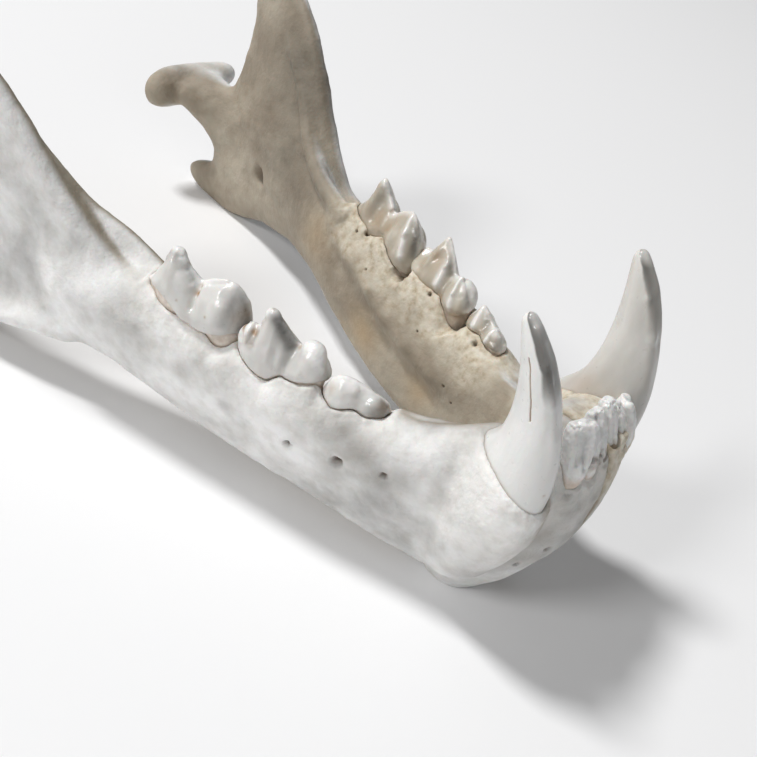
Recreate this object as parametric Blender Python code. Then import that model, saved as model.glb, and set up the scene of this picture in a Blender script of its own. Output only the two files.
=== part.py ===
# Lower jaw of a leopard, life size: two jaw bones with their incisors and cheek teeth, and two canines.
# Lengths in the tables are millimetres in the jaw's own frame, and MM turns them into metres.
# The jaw's front faces -Y and its left half is at +X. In the tables its rear is raised by REST_TILT,
# and the finished jaw is turned back about its chin, so that it rests on chin and angular processes.
import math

import bmesh
import bpy
import numpy as np
from mathutils import Matrix, Vector

MM = 0.001

# Driving sizes
GAP = 0.3                 # between pieces that meet
FLOOR_LEVEL = 0.0
REST_TILT = 4.0           # degrees
CHIN_CONTACT = (0.0, 17.0, 0.0)
TOOTH_ROOT_DEPTH = 6.0    # how far a crown's root is sunk into the bone
BONE_VOXEL = 1.0
TOOTH_VOXEL = 0.5
BONE_SMOOTH_STEPS = 9
BONE_TRIANGLES = 5700
BODY_TAPER = 0.2          # how much wider the jaw body is at its top than halfway down

# Stations of the jaw body, front to back along its own bend.
# Each row: x, y, z of the middle, half thickness, half height, heading and lean in degrees, squareness
BODY = (
    (10.0, 14.0, 19.8, 5.6, 17.2, 46.0, -3.0, 2.3),    # beside the symphysis
    (13.4, 23.5, 20.8, 5.8, 17.1, 30.0, -5.0, 2.3),    # behind the canine
    (15.6, 30.5, 19.8, 5.6, 15.5, 24.0, -6.0, 2.3),    # gap before the third premolar
    (17.4, 38.5, 18.7, 5.8, 13.5, 20.0, -8.0, 2.4),    # third premolar
    (20.6, 51.5, 19.3, 6.2, 12.9, 15.0, -10.5, 2.4),   # fourth premolar
    (23.7, 65.0, 21.0, 6.4, 12.2, 12.0, -9.0, 2.4),    # front of the carnassial
    (27.2, 77.5, 23.2, 6.2, 11.1, 13.0, -6.5, 2.3),    # back of the carnassial
    (30.4, 88.0, 25.4, 5.3, 10.6, 16.0, -4.0, 2.2),    # root of the coronoid process
    (34.0, 99.0, 26.4, 4.1, 11.8, 17.0, -2.0, 2.2),
    (37.2, 111.0, 24.8, 3.3, 12.5, 15.0, 0.0, 2.1),    # masseteric fossa
    (39.8, 122.0, 22.4, 3.1, 13.2, 12.0, 0.0, 2.1),
    (41.2, 130.0, 20.2, 2.9, 12.2, 10.0, 0.0, 2.1),
    (41.8, 134.6, 18.8, 1.8, 9.0, 8.0, 0.0, 2.0),      # border between condyle and angle
)

# The chin, a stack of level sections from the floor up to the sockets of the incisors.
# Each row: z, y of the front, y of the back, half width, squareness
CHIN = (
    (-1.2, 12.6, 23.4, 8.6, 2.3),
    (1.2, 10.9, 25.2, 10.2, 2.3),
    (5.0, 8.0, 27.6, 11.2, 2.4),
    (10.0, 5.2, 28.8, 12.2, 2.5),
    (16.0, 2.6, 27.6, 12.6, 2.6),
    (22.0, 1.1, 24.8, 12.8, 2.6),
    (29.0, 0.5, 20.4, 12.8, 2.6),
    (34.0, 0.9, 17.2, 12.6, 2.6),
    (37.4, 2.4, 15.2, 12.0, 2.6),
    (39.4, 5.6, 13.6, 10.0, 2.4),
)

# Swelling round the canine's root, from the rim of the socket down and back.
# Each row: x, y, z, half depth front to back, half width, tilt and turn of the section in degrees
CANINE_SWELLING = (
    (13.9, 11.6, 36.0, 8.2, 5.6, 18.0, 24.0),
    (13.8, 11.7, 34.4, 9.2, 6.6, 18.0, 24.0),
    (13.4, 12.2, 28.0, 9.4, 7.0, 17.0, 20.0),
    (12.8, 13.8, 21.0, 8.4, 6.7, 18.0, 10.0),
    (12.0, 16.6, 13.0, 7.2, 6.0, 24.0, 0.0),
    (11.2, 19.6, 8.2, 5.6, 5.0, 30.0, 0.0),
)

# Coronoid process, a fin that rises from behind the carnassial.
# Each row: z, y of the front edge, y of the back edge, x of the middle, half thickness, heading
CORONOID = (
    (24.0, 86.0, 133.4, 36.4, 3.6, 15.0),
    (33.0, 87.5, 133.8, 36.9, 3.4, 15.0),
    (39.0, 91.5, 132.6, 37.6, 3.0, 14.0),
    (46.0, 97.5, 130.8, 38.6, 2.6, 13.0),
    (53.0, 103.0, 130.2, 39.8, 2.3, 12.0),
    (59.5, 108.5, 130.8, 41.0, 2.1, 11.0),
    (64.5, 114.0, 132.0, 42.0, 1.8, 10.0),
    (67.4, 119.6, 133.0, 42.8, 1.4, 9.0),
    (68.6, 124.8, 132.4, 43.2, 0.8, 9.0),
)

# Thick front border of the coronoid process.
# Each row: x, y, z, radius
CORONOID_CREST = (
    (29.6, 80.5, 29.4, 3.1),
    (31.2, 87.5, 33.8, 3.1),
    (33.6, 94.4, 40.0, 2.9),
    (35.8, 100.6, 47.4, 2.6),
    (37.8, 106.2, 54.8, 2.3),
    (39.8, 112.2, 61.2, 2.0),
    (41.5, 118.6, 65.6, 1.6),
    (42.6, 124.0, 67.8, 1.1),
)

# Ridge on the inner side, from behind the carnassial up the coronoid process.
INNER_CREST = (
    (24.8, 79.0, 33.8, 1.9),
    (25.3, 85.0, 35.8, 2.0),
    (26.9, 91.0, 38.0, 2.0),
    (29.6, 97.0, 41.2, 1.8),
    (32.6, 103.0, 47.0, 1.5),
    (34.8, 108.6, 52.6, 1.2),
    (37.2, 114.0, 57.0, 0.9),
)

# Lower border of the masseteric fossa, a ridge on the outer side.
FOSSA_RIDGE = (
    (33.6, 92.0, 17.4, 2.2),
    (37.6, 103.0, 16.4, 2.4),
    (40.8, 115.0, 14.2, 2.5),
    (42.8, 126.0, 11.8, 2.4),
    (43.0, 133.0, 10.8, 2.0),
)

# Neck and condyle. Each row: x, y, z, half width across, half height, heading
NECK = (
    (40.2, 122.0, 27.0, 3.0, 9.4, 8.0),
    (41.0, 131.0, 28.6, 3.6, 9.0, 0.0),
    (41.0, 137.5, 31.4, 5.4, 6.8, -8.0),
    (40.8, 143.6, 33.4, 8.4, 4.4, -14.0),
)
# Each row: x, y, z, half depth front to back, half height
CONDYLE = (
    (28.6, 147.8, 32.0, 1.8, 2.2),
    (30.4, 147.6, 32.4, 3.4, 4.2),
    (34.5, 147.0, 33.0, 4.1, 5.0),
    (39.5, 146.0, 33.9, 3.9, 4.7),
    (44.5, 144.8, 35.0, 3.5, 3.9),
    (49.0, 143.6, 35.9, 3.0, 3.2),
    (51.4, 142.9, 36.3, 1.7, 1.8),
)

# Angular process, a blunt hook below the condyle. Each row: x, y, z, half width, half height, heading
ANGLE = (
    (38.8, 111.0, 19.4, 2.8, 7.2, 12.0),
    (40.4, 119.0, 16.6, 3.2, 7.8, 10.0),
    (41.6, 126.5, 14.0, 3.5, 7.2, 6.0),
    (42.0, 132.6, 12.8, 3.6, 5.6, 0.0),
    (41.7, 137.4, 12.4, 3.1, 4.0, -6.0),
    (41.2, 140.6, 12.6, 2.2, 2.6, -10.0),
    (40.8, 142.4, 12.8, 1.0, 1.2, -12.0),
)

# Hollows pressed into the bone: middle, reach along x, y, z, and how far the surface moves inwards
OUTER_HOLLOWS = (
    ((44.0, 111.0, 29.0), (14.0, 19.0, 14.0), 2.3),    # masseteric fossa
    ((42.0, 100.0, 24.0), (14.0, 9.0, 6.0), 0.8),      # its narrow front end
)
INNER_HOLLOWS = (
    ((28.0, 120.0, 26.0), (14.0, 13.0, 11.0), 1.0),    # below the foramen of the jaw
    ((13.0, 62.0, 15.0), (10.0, 26.0, 6.0), 0.8),      # beneath the cheek teeth
)

# Canine: stations of its bent axis from the root's end to the tip.
# Each row: x, y, z, half depth, half width, tilt and turn of the section in degrees
CANINE = (
    (12.8, 14.2, 21.5, 5.4, 3.9, 16.0, 28.0),
    (13.2, 12.8, 26.0, 6.9, 4.6, 14.0, 28.0),
    (13.7, 11.5, 31.0, 7.7, 5.0, 10.0, 28.0),
    (14.3, 10.6, 36.0, 7.2, 4.7, 2.0, 28.0),
    (15.0, 10.2, 41.0, 6.1, 4.1, -6.0, 28.0),
    (15.8, 10.5, 46.0, 5.0, 3.4, -13.0, 28.0),
    (16.5, 11.5, 51.0, 4.1, 2.85, -20.0, 28.0),
    (17.1, 13.2, 55.8, 3.1, 2.3, -27.0, 28.0),
    (17.65, 15.3, 59.8, 1.9, 1.6, -33.0, 28.0),
    (18.0, 16.8, 62.4, 0.8, 0.7, -36.0, 28.0),
)
CANINE_GROOVES = ((62.0, 0.05), (118.0, 0.035), (-75.0, 0.03))    # angle and depth of its long grooves
# Heel of the canine's crown: its angle, its spread, its size, and the level it is full at and its reach up
# and down from there
HEEL = (58.0, 34.0, 2.0, 35.0, 7.0, 8.0)

# Cheek teeth on the left. Ends on the tooth row, neck level at both ends, width, and the cusp line:
# share of the length and height over the neck of each tip and notch. Tips lean out and back by shares of
# their height
CHEEK_TEETH = {
    "third_premolar": {
        "front": (16.8, 32.2), "back": (20.9, 42.8), "neck": (30.8, 30.9), "width": 6.0, "waist": 0.06,
        "blunt": 3.0, "lean": (0.15, 0.20),
        "cusps": ((0.0, 1.5), (0.16, 3.6), (0.28, 3.2), (0.60, 6.2), (0.76, 3.3), (0.86, 3.8), (1.0, 1.6)),
    },
    "fourth_premolar": {
        "front": (20.9, 43.2), "back": (24.7, 60.4), "neck": (31.0, 32.4), "width": 7.8, "waist": 0.10,
        "blunt": 3.6, "lean": (0.12, 0.20),
        "cusps": ((0.0, 2.6), (0.08, 5.2), (0.20, 6.6), (0.32, 5.1), (0.57, 11.1), (0.72, 5.6), (0.80, 7.0),
                  (0.93, 4.2), (1.0, 2.2)),
    },
    "carnassial": {
        "front": (24.3, 59.4), "back": (28.7, 79.3), "neck": (32.5, 33.6), "width": 8.8, "waist": 0.08,
        "blunt": 4.4, "lean": (0.09, 0.0),
        "cusps": ((0.0, 4.4), (0.04, 7.0), (0.14, 8.9), (0.30, 10.0), (0.50, 6.8), (0.76, 12.1), (0.91, 6.2),
                  (1.0, 2.2)),
    },
}
CROWN_SECTION = ((0.34, -1.0), (0.43, 0.0), (0.50, 0.22), (0.42, 0.52), (0.25, 0.82), (0.07, 1.0))
CROWN_STATIONS = 22

# Incisors on the left: x, y, neck level, crown height, width, depth, lean outwards in degrees, slope backwards
INCISORS = (
    (2.2, 3.7, 37.2, 8.2, 3.4, 5.0, 2.0, 0.36),
    (5.4, 3.9, 36.6, 7.2, 3.3, 5.0, 3.0, 0.22),
    (8.8, 4.9, 35.4, 8.6, 4.5, 6.0, 6.0, 0.28),
)
# Share of the crown's height, of its width and of its depth, from the sunk root to the worn edge
INCISOR_PROFILE = (
    (-0.9, 0.50, 0.66), (0.0, 0.74, 0.94), (0.35, 0.92, 0.90), (0.70, 1.0, 0.62), (0.93, 0.90, 0.40),
    (1.0, 0.66, 0.26),
)

BONE_COLOUR = (0.62, 0.52, 0.38, 1.0)
ENAMEL_COLOUR = (0.72, 0.68, 0.58, 1.0)


def clear_scene():
    for item in list(bpy.data.objects):
        bpy.data.objects.remove(item, do_unlink=True)


def smooth_rows(rows, steps):
    """Rows between the given ones, on a smooth curve through them."""
    table = np.array(rows, dtype=float)
    padded = np.vstack([2 * table[0] - table[1], table, 2 * table[-1] - table[-2]])
    result = []
    for i in range(len(table) - 1):
        a, b, c, d = padded[i:i + 4]
        for step in range(steps):
            t = step / steps
            bend = 2 * b + (c - a) * t + (2 * a - 5 * b + 4 * c - d) * t ** 2 + (3 * b - 3 * c + d - a) * t ** 3
            result.append(bend / 2)
    result.append(table[-1])
    return result


def oval(middle, across, upward, half_across, half_up, squareness, count, taper=0.0):
    """A ring of points, an ellipse where squareness is 2 and squarer above that, wider at its top by taper."""
    ring = []
    for i in range(count):
        angle = 2 * math.pi * i / count
        side = math.copysign(abs(math.cos(angle)) ** (2 / squareness), math.cos(angle))
        rise = math.copysign(abs(math.sin(angle)) ** (2 / squareness), math.sin(angle))
        wide = half_across * side * (1 + taper * rise)
        ring.append(middle + across * wide + upward * (half_up * rise))
    return ring


def skin(name, rings):
    """A closed object through rings that have the same number of points."""
    form = bmesh.new()
    rows = [[form.verts.new(Vector(point) * MM) for point in ring] for ring in rings]
    count = len(rows[0])
    for lower, upper in zip(rows, rows[1:]):
        for i in range(count):
            j = (i + 1) % count
            form.faces.new((lower[i], lower[j], upper[j], upper[i]))
    form.faces.new(list(reversed(rows[0])))
    form.faces.new(rows[-1])
    bmesh.ops.triangulate(form, faces=form.faces)
    bmesh.ops.recalc_face_normals(form, faces=form.faces)
    mesh = bpy.data.meshes.new(name)
    form.to_mesh(mesh)
    form.free()
    item = bpy.data.objects.new(name, mesh)
    bpy.context.scene.collection.objects.link(item)
    return item


def body_rings(rows, count, steps):
    rings = []
    for x, y, z, thick, high, heading, lean, square in smooth_rows(rows, steps):
        turn, tip = math.radians(heading), math.radians(lean)
        across = Vector((math.cos(turn), -math.sin(turn), 0.0))
        upward = Vector((0, 0, 1)) * math.cos(tip) - across * math.sin(tip)
        rings.append(oval(Vector((x, y, z)), across, upward, thick, high, square, count, BODY_TAPER))
    return rings


def chin_rings(count, steps):
    """Level sections that reach across the midline, where the bone is cut later."""
    rings = []
    for z, front, back, wide, square in smooth_rows(CHIN, steps):
        middle = Vector((0.0, (front + back) / 2, z))
        rings.append(oval(middle, Vector((1, 0, 0)), Vector((0, 1, 0)), wide, (back - front) / 2, square, count))
    return rings


def stem_rings(rows, count, steps):
    """Sections across a canine's axis, tilted about x to stay square to its bend, then turned in their plane."""
    rings = []
    for x, y, z, deep, wide, tilt, turn in smooth_rows(rows, steps):
        tip, twist = math.radians(tilt), math.radians(turn)
        sideways = Vector((1, 0, 0))
        backwards = Vector((0, math.cos(tip), math.sin(tip)))
        across = sideways * math.cos(twist) + backwards * math.sin(twist)
        along = backwards * math.cos(twist) - sideways * math.sin(twist)
        rings.append(oval(Vector((x, y, z)), across, along, wide, deep, 2.0, count))
    return rings


def coronoid_rings(count, steps):
    rings = []
    for z, front, back, x, thick, heading in smooth_rows(CORONOID, steps):
        turn = math.radians(heading)
        along = Vector((math.sin(turn), math.cos(turn), 0))
        across = Vector((math.cos(turn), -math.sin(turn), 0))
        middle = Vector((x, (front + back) / 2, z))
        rings.append(oval(middle, across, along, thick, (back - front) / 2 / math.cos(turn), 2.5, count))
    return rings


def tube_rings(rows, count, steps):
    """Round sections square to a path whose rows hold x, y, z and radius."""
    table = smooth_rows(rows, steps)
    rings = []
    for i, (x, y, z, radius) in enumerate(table):
        before, after = table[max(i - 1, 0)], table[min(i + 1, len(table) - 1)]
        along = Vector(after[:3] - before[:3]).normalized()
        across = along.cross(Vector((0, 0, 1))).normalized()
        rings.append(oval(Vector((x, y, z)), across, across.cross(along), radius, radius, 2.0, count))
    return rings


def plain_rings(rows, count, steps):
    """Upright oval sections along y whose rows end with half width, half height and heading."""
    rings = []
    for x, y, z, wide, high, heading in smooth_rows(rows, steps):
        turn = math.radians(heading)
        across = Vector((math.cos(turn), -math.sin(turn), 0))
        rings.append(oval(Vector((x, y, z)), across, Vector((0, 0, 1)), wide, high, 2.1, count))
    return rings


def condyle_rings(count, steps):
    rings = []
    for x, y, z, deep, high in smooth_rows(CONDYLE, steps):
        rings.append(oval(Vector((x, y, z)), Vector((0, 1, 0)), Vector((0, 0, 1)), deep, high, 2.0, count))
    return rings


def cusp_height(cusps, share):
    """Height of the cusp line, with rounded notches between straight-sided tips."""
    for (start, low), (end, high) in zip(cusps, cusps[1:]):
        if share <= end:
            t = (share - start) / (end - start)
            rising = high > low
            eased = t ** 1.35 if rising else 1 - (1 - t) ** 1.35
            return low + (high - low) * eased
    return cusps[-1][1]


def crown_rings(tooth):
    """Upright sections along a cheek tooth, from its sunk root to its cutting edge."""
    start = Vector((*tooth["front"], tooth["neck"][0]))
    end = Vector((*tooth["back"], tooth["neck"][1]))
    along = (end - start).normalized()
    across = along.cross(Vector((0, 0, 1))).normalized()
    rings = []
    for i in range(CROWN_STATIONS + 1):
        share = 0.5 - 0.5 * math.cos(math.pi * i / CROWN_STATIONS) if i in (0, CROWN_STATIONS) else i / CROWN_STATIONS
        ends = 1 - abs(2 * share - 1) ** tooth["blunt"]
        waist = 1 - tooth["waist"] * math.exp(-((share - 0.5) / 0.12) ** 2)
        width = tooth["width"] * max(ends, 0.16) ** 0.5 * waist
        height = cusp_height(tooth["cusps"], share)
        middle = start.lerp(end, share)
        profile = []
        for side, rise in CROWN_SECTION:
            level = -TOOTH_ROOT_DEPTH if rise < 0 else height * rise
            inset = 1.0 if rise >= 0 else 0.9
            profile.append((side * width * inset, level))
        outline = [(wide, level) for wide, level in profile]
        outline += [(-wide, level) for wide, level in reversed(profile)]
        outwards, backwards = tooth["lean"]
        lean = across * outwards + along * backwards
        rings.append([middle + across * wide + lean * max(level, 0) + Vector((0, 0, level))
                      for wide, level in outline])
    return rings


def incisor_rings(x, y, neck, height, width, depth, lean, slope, count):
    tip = math.radians(lean)
    upward = Vector((math.sin(tip), slope, math.cos(tip))).normalized()
    across = Vector((math.cos(tip), 0, -math.sin(tip)))
    along = upward.cross(across).normalized()
    rings = []
    for rise, wide, deep in smooth_rows(INCISOR_PROFILE, 2):
        middle = Vector((x, y, neck)) + upward * (height * rise)
        rings.append(oval(middle, across, along, width / 2 * wide, depth / 2 * deep, 2.3, count))
    return rings


def evaluated_mesh(item):
    bpy.context.view_layer.update()
    return bpy.data.meshes.new_from_object(item.evaluated_get(bpy.context.evaluated_depsgraph_get()))


def apply_modifiers(item):
    mesh = evaluated_mesh(item)
    item.modifiers.clear()
    item.data = mesh


def keep_largest_surface(item):
    """Leaves only the largest closed surface, so a sealed hollow or a loose scrap goes."""
    form = bmesh.new()
    form.from_mesh(item.data)
    left = set(form.verts)
    shells = []
    while left:
        shell, front = set(), [left.pop()]
        while front:
            vert = front.pop()
            shell.add(vert)
            for edge in vert.link_edges:
                other = edge.other_vert(vert)
                if other in left:
                    left.remove(other)
                    front.append(other)
        shells.append(shell)
    shells.sort(key=len)
    for shell in shells[:-1]:
        bmesh.ops.delete(form, geom=list(shell), context="VERTS")
    form.to_mesh(item.data)
    form.free()


def join(name, pieces):
    """One Boolean union of closed objects, after which the pieces are removed."""
    group = bpy.data.collections.new(name + "_pieces")
    bpy.context.scene.collection.children.link(group)
    base = pieces[0]
    for piece in pieces[1:]:
        group.objects.link(piece)
    union = base.modifiers.new("union", "BOOLEAN")
    union.operation = "UNION"
    union.operand_type = "COLLECTION"
    union.collection = group
    union.solver = "EXACT"
    apply_modifiers(base)
    for piece in pieces[1:]:
        bpy.data.objects.remove(piece, do_unlink=True)
    bpy.data.collections.remove(group)
    base.name = name
    keep_largest_surface(base)
    return base


def even_out(item, voxel, smooth_steps):
    """One even surface over the joined pieces, with its joints softened."""
    remesh = item.modifiers.new("even surface", "REMESH")
    remesh.mode = "VOXEL"
    remesh.voxel_size = voxel * MM
    if smooth_steps:
        soften = item.modifiers.new("soften", "SMOOTH")
        soften.factor = 0.5
        soften.iterations = smooth_steps
    apply_modifiers(item)
    keep_largest_surface(item)


def press_hollows(item, hollows, inwards):
    """Moves the surface along x, most at a hollow's middle and not at all at its reach."""
    points = np.empty(len(item.data.vertices) * 3)
    item.data.vertices.foreach_get("co", points)
    points = points.reshape(-1, 3) / MM
    normals = np.array([vert.normal[:] for vert in item.data.vertices])
    for middle, reach, depth in hollows:
        away = (((points - middle) / reach) ** 2).sum(axis=1)
        strength = np.clip(1 - away, 0, 1) ** 0.8 * np.clip(-normals[:, 0] * inwards, 0, 1)
        points[:, 0] += inwards * depth * strength
    item.data.vertices.foreach_set("co", (points * MM).ravel())
    item.data.update()


def thin_out(item, triangles):
    fewer = item.modifiers.new("fewer faces", "DECIMATE")
    fewer.ratio = triangles / len(evaluated_mesh(item).loop_triangles or item.data.polygons)
    fewer.use_collapse_triangulate = True
    apply_modifiers(item)


def cut_flat(item, point, normal):
    """Cuts away what lies on the normal's side of a plane and closes the flat."""
    form = bmesh.new()
    form.from_mesh(item.data)
    geometry = form.verts[:] + form.edges[:] + form.faces[:]
    bmesh.ops.bisect_plane(form, geom=geometry, dist=1e-6, plane_co=Vector(point) * MM, plane_no=normal,
                           clear_outer=True)
    rim = [edge for edge in form.edges if edge.is_boundary]
    if rim:
        bmesh.ops.holes_fill(form, edges=rim)
    bmesh.ops.remove_doubles(form, verts=form.verts, dist=0.02 * MM)
    bmesh.ops.triangulate(form, faces=[face for face in form.faces if len(face.verts) > 3])
    bmesh.ops.recalc_face_normals(form, faces=form.faces)
    form.to_mesh(item.data)
    form.free()


def cut_away(item, cutter):
    cutter.hide_render = True
    cutter.display_type = "WIRE"
    cut = item.modifiers.new("socket", "BOOLEAN")
    cut.operation = "DIFFERENCE"
    cut.solver = "EXACT"
    cut.object = cutter
    apply_modifiers(item)
    bpy.data.objects.remove(cutter, do_unlink=True)
    keep_largest_surface(item)


def canine_rings(grow, count):
    """Rings of the canine, its radii made larger by grow, with its heel and the long grooves of its crown."""
    rows = [(x, y, z, deep + grow, wide + grow, tilt, turn) for x, y, z, deep, wide, tilt, turn in CANINE]
    rings = stem_rings(rows, count, 2)
    heel_angle, heel_spread, heel_size, heel_level, reach_up, reach_down = HEEL
    for ring, row in zip(rings, smooth_rows(CANINE, 2)):
        middle = Vector(row[:3])
        above = row[2] - heel_level
        fullness = max(1 - abs(above) / (reach_up if above > 0 else reach_down), 0) ** 1.5
        grooved = min(max((row[2] - 38.0) / 6.0, 0), 1) * min(max((60.0 - row[2]) / 8.0, 0), 1)
        for i in range(count):
            angle = 360.0 * i / count
            outwards = ring[i] - middle
            apart = abs((angle - heel_angle + 180) % 360 - 180)
            ring[i] += outwards.normalized() * heel_size * fullness * math.exp(-(apart / heel_spread) ** 2)
            for place, depth in CANINE_GROOVES if grow == 0 else ():
                apart = abs((angle - place + 180) % 360 - 180)
                ring[i] -= outwards * depth * grooved * math.exp(-(apart / 12.0) ** 2)
    return rings


def turn_to_rest(item):
    """Turns a piece about the chin's contact, so that chin and angular processes stand on the floor."""
    pivot = Vector(CHIN_CONTACT) * MM
    turn = Matrix.Translation(pivot) @ Matrix.Rotation(math.radians(-REST_TILT), 4, "X") @ Matrix.Translation(-pivot)
    item.data.transform(turn)
    item.data.update()


def make_canine():
    canine = skin("canine_left", canine_rings(0.0, 24))
    turn_to_rest(canine)
    return canine


def make_bone():
    """The left jaw bone, without teeth, as one even surface."""
    pieces = [
        skin("jaw body", body_rings(BODY, 28, 4)),
        skin("chin", chin_rings(32, 3)),
        skin("canine swelling", stem_rings(CANINE_SWELLING, 24, 3)),
        skin("coronoid", coronoid_rings(28, 3)),
        skin("coronoid crest", tube_rings(CORONOID_CREST, 12, 3)),
        skin("inner crest", tube_rings(INNER_CREST, 12, 3)),
        skin("fossa ridge", tube_rings(FOSSA_RIDGE, 12, 3)),
        skin("neck", plain_rings(NECK, 20, 4)),
        skin("condyle", condyle_rings(20, 3)),
        skin("angle", plain_rings(ANGLE, 20, 4)),
    ]
    bone = join("mandible_left", pieces)
    even_out(bone, BONE_VOXEL, BONE_SMOOTH_STEPS)
    press_hollows(bone, OUTER_HOLLOWS, -1)
    press_hollows(bone, INNER_HOLLOWS, 1)
    return bone


def make_jaw_half():
    bone = make_bone()
    teeth = [skin(name, crown_rings(tooth)) for name, tooth in CHEEK_TEETH.items()]
    teeth += [skin("incisor", incisor_rings(*incisor, 14)) for incisor in INCISORS]
    half = join("mandible_left", [bone] + teeth)
    even_out(half, TOOTH_VOXEL, 1)
    thin_out(half, BONE_TRIANGLES)
    cut_away(half, skin("socket cutter", canine_rings(GAP, 24)))
    cut_flat(half, (GAP / 2, 0, 0), (-1, 0, 0))
    turn_to_rest(half)
    cut_flat(half, (0, 0, FLOOR_LEVEL), (0, 0, -1))
    keep_largest_surface(half)
    return half


def mirrored(item, name):
    mesh = item.data.copy()
    form = bmesh.new()
    form.from_mesh(mesh)
    for vert in form.verts:
        vert.co.x = -vert.co.x
    bmesh.ops.reverse_faces(form, faces=form.faces)
    form.to_mesh(mesh)
    form.free()
    copy = bpy.data.objects.new(name, mesh)
    bpy.context.scene.collection.objects.link(copy)
    return copy


def material(name, colour, roughness):
    finish = bpy.data.materials.new(name)
    finish.use_nodes = True
    shader = finish.node_tree.nodes["Principled BSDF"]
    shader.inputs["Base Color"].default_value = colour
    shader.inputs["Roughness"].default_value = roughness
    shader.inputs["Metallic"].default_value = 0.0
    finish.diffuse_color = colour
    return finish


def centre_on_floor(items):
    """Puts the origin at the floor under the middle of the whole jaw."""
    corners = np.array([vert.co[:] for item in items for vert in item.data.vertices])
    middle = (corners.min(axis=0) + corners.max(axis=0)) / 2
    shift = Vector((-middle[0], -middle[1], -corners[:, 2].min()))
    for item in items:
        for vert in item.data.vertices:
            vert.co += shift
        item.data.update()


def main():
    clear_scene()
    half = make_jaw_half()
    canine = make_canine()
    items = [half, canine, mirrored(half, "mandible_right"), mirrored(canine, "canine_right")]
    centre_on_floor(items)
    for item in items:
        bone = item.name.startswith("mandible")
        finish = material(item.name, BONE_COLOUR if bone else ENAMEL_COLOUR, 0.6 if bone else 0.3)
        item.data.materials.clear()
        item.data.materials.append(finish)
        item.data.shade_smooth()
        item.data.set_sharp_from_angle(angle=math.radians(50))


main()
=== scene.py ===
import math

import bmesh
import bpy
import numpy as np
from mathutils import Matrix, Vector
from mathutils.bvhtree import BVHTree


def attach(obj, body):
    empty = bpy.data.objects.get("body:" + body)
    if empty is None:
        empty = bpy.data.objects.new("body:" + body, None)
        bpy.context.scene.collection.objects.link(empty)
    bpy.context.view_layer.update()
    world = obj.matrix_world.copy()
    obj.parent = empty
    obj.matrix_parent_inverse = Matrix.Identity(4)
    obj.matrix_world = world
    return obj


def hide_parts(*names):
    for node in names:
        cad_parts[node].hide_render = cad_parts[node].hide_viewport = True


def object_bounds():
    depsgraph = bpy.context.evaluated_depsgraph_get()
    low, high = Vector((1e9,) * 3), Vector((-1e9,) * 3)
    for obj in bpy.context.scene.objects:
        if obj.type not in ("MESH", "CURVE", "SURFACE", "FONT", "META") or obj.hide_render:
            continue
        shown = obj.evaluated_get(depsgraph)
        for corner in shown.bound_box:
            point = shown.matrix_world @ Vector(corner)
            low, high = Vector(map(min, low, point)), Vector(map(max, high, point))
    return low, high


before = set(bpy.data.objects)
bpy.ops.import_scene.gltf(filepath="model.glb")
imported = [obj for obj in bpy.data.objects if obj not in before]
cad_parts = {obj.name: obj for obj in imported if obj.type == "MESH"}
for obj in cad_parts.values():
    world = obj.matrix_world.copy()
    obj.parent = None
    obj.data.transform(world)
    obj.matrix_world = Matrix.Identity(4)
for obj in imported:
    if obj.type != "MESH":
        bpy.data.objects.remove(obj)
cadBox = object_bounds()

# Lower jaw of a leopard, dressed for the studio. Tables are in millimetres in the jaw's own frame: the
# front faces -Y, the animal's left is +X, and the rear is raised by restTilt. Everything is modelled on
# the +X side, and the right half is mirrored at the end. placePiece turns a finished piece down on to the
# floor and shrinks it to metres.
placing = {"restTilt": 4.0, "pivot": (0.0, 17.0, 0.0), "shift": (0.0, 77.5895, 0.0), "scale": 0.001,
           "spare": 0.00002}


def placePiece(item):
    pivot = Vector(placing["pivot"])
    turn = Matrix.Rotation(math.radians(-placing["restTilt"]), 4, "X")
    move = Matrix.Translation(pivot - Vector(placing["shift"])) @ turn @ Matrix.Translation(-pivot)
    item.data.transform(Matrix.Scale(placing["scale"], 4) @ move)
    # What would reach below the floor or beyond the jaw's size is worn flat
    low, high = np.array(cadBox[0]) + placing["spare"], np.array(cadBox[1]) - placing["spare"]
    low[2] = 0.0
    setPoints(item, np.clip(getPoints(item), low, high))


# Small helpers for work by operators

def selectOnly(*items):
    bpy.ops.object.select_all(action="DESELECT")
    for item in items:
        item.select_set(True)
    bpy.context.view_layer.objects.active = items[0] if items else None


def removeItems(items):
    for item in items:
        bpy.data.objects.remove(item, do_unlink=True)


def useModifier(item, kind, **settings):
    selectOnly(item)
    modifier = item.modifiers.new(kind.lower(), kind)
    for key, value in settings.items():
        setattr(modifier, key, value)
    bpy.ops.object.modifier_apply(modifier=modifier.name)


def readVectors(rows, key):
    values = np.empty(len(rows) * 3)
    rows.foreach_get(key, values)
    return values.reshape(-1, 3)


def getPoints(item):
    return readVectors(item.data.vertices, "co")


def getNormals(item):
    return readVectors(item.data.vertex_normals, "vector")


def getCentres(item):
    return readVectors(item.data.polygons, "center")


def setPoints(item, points):
    item.data.vertices.foreach_set("co", np.ascontiguousarray(points).ravel())
    item.data.update()


def setMask(item, name, values):
    layer = item.data.attributes.get(name) or item.data.attributes.new(name, "FLOAT", "POINT")
    layer.data.foreach_set("value", np.clip(values, 0, 1).astype(np.float32))


def editMesh(item, step):
    selectOnly(item)
    bpy.ops.object.mode_set(mode="EDIT")
    bpy.ops.mesh.select_all(action="SELECT")
    step()
    bpy.ops.object.mode_set(mode="OBJECT")


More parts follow.
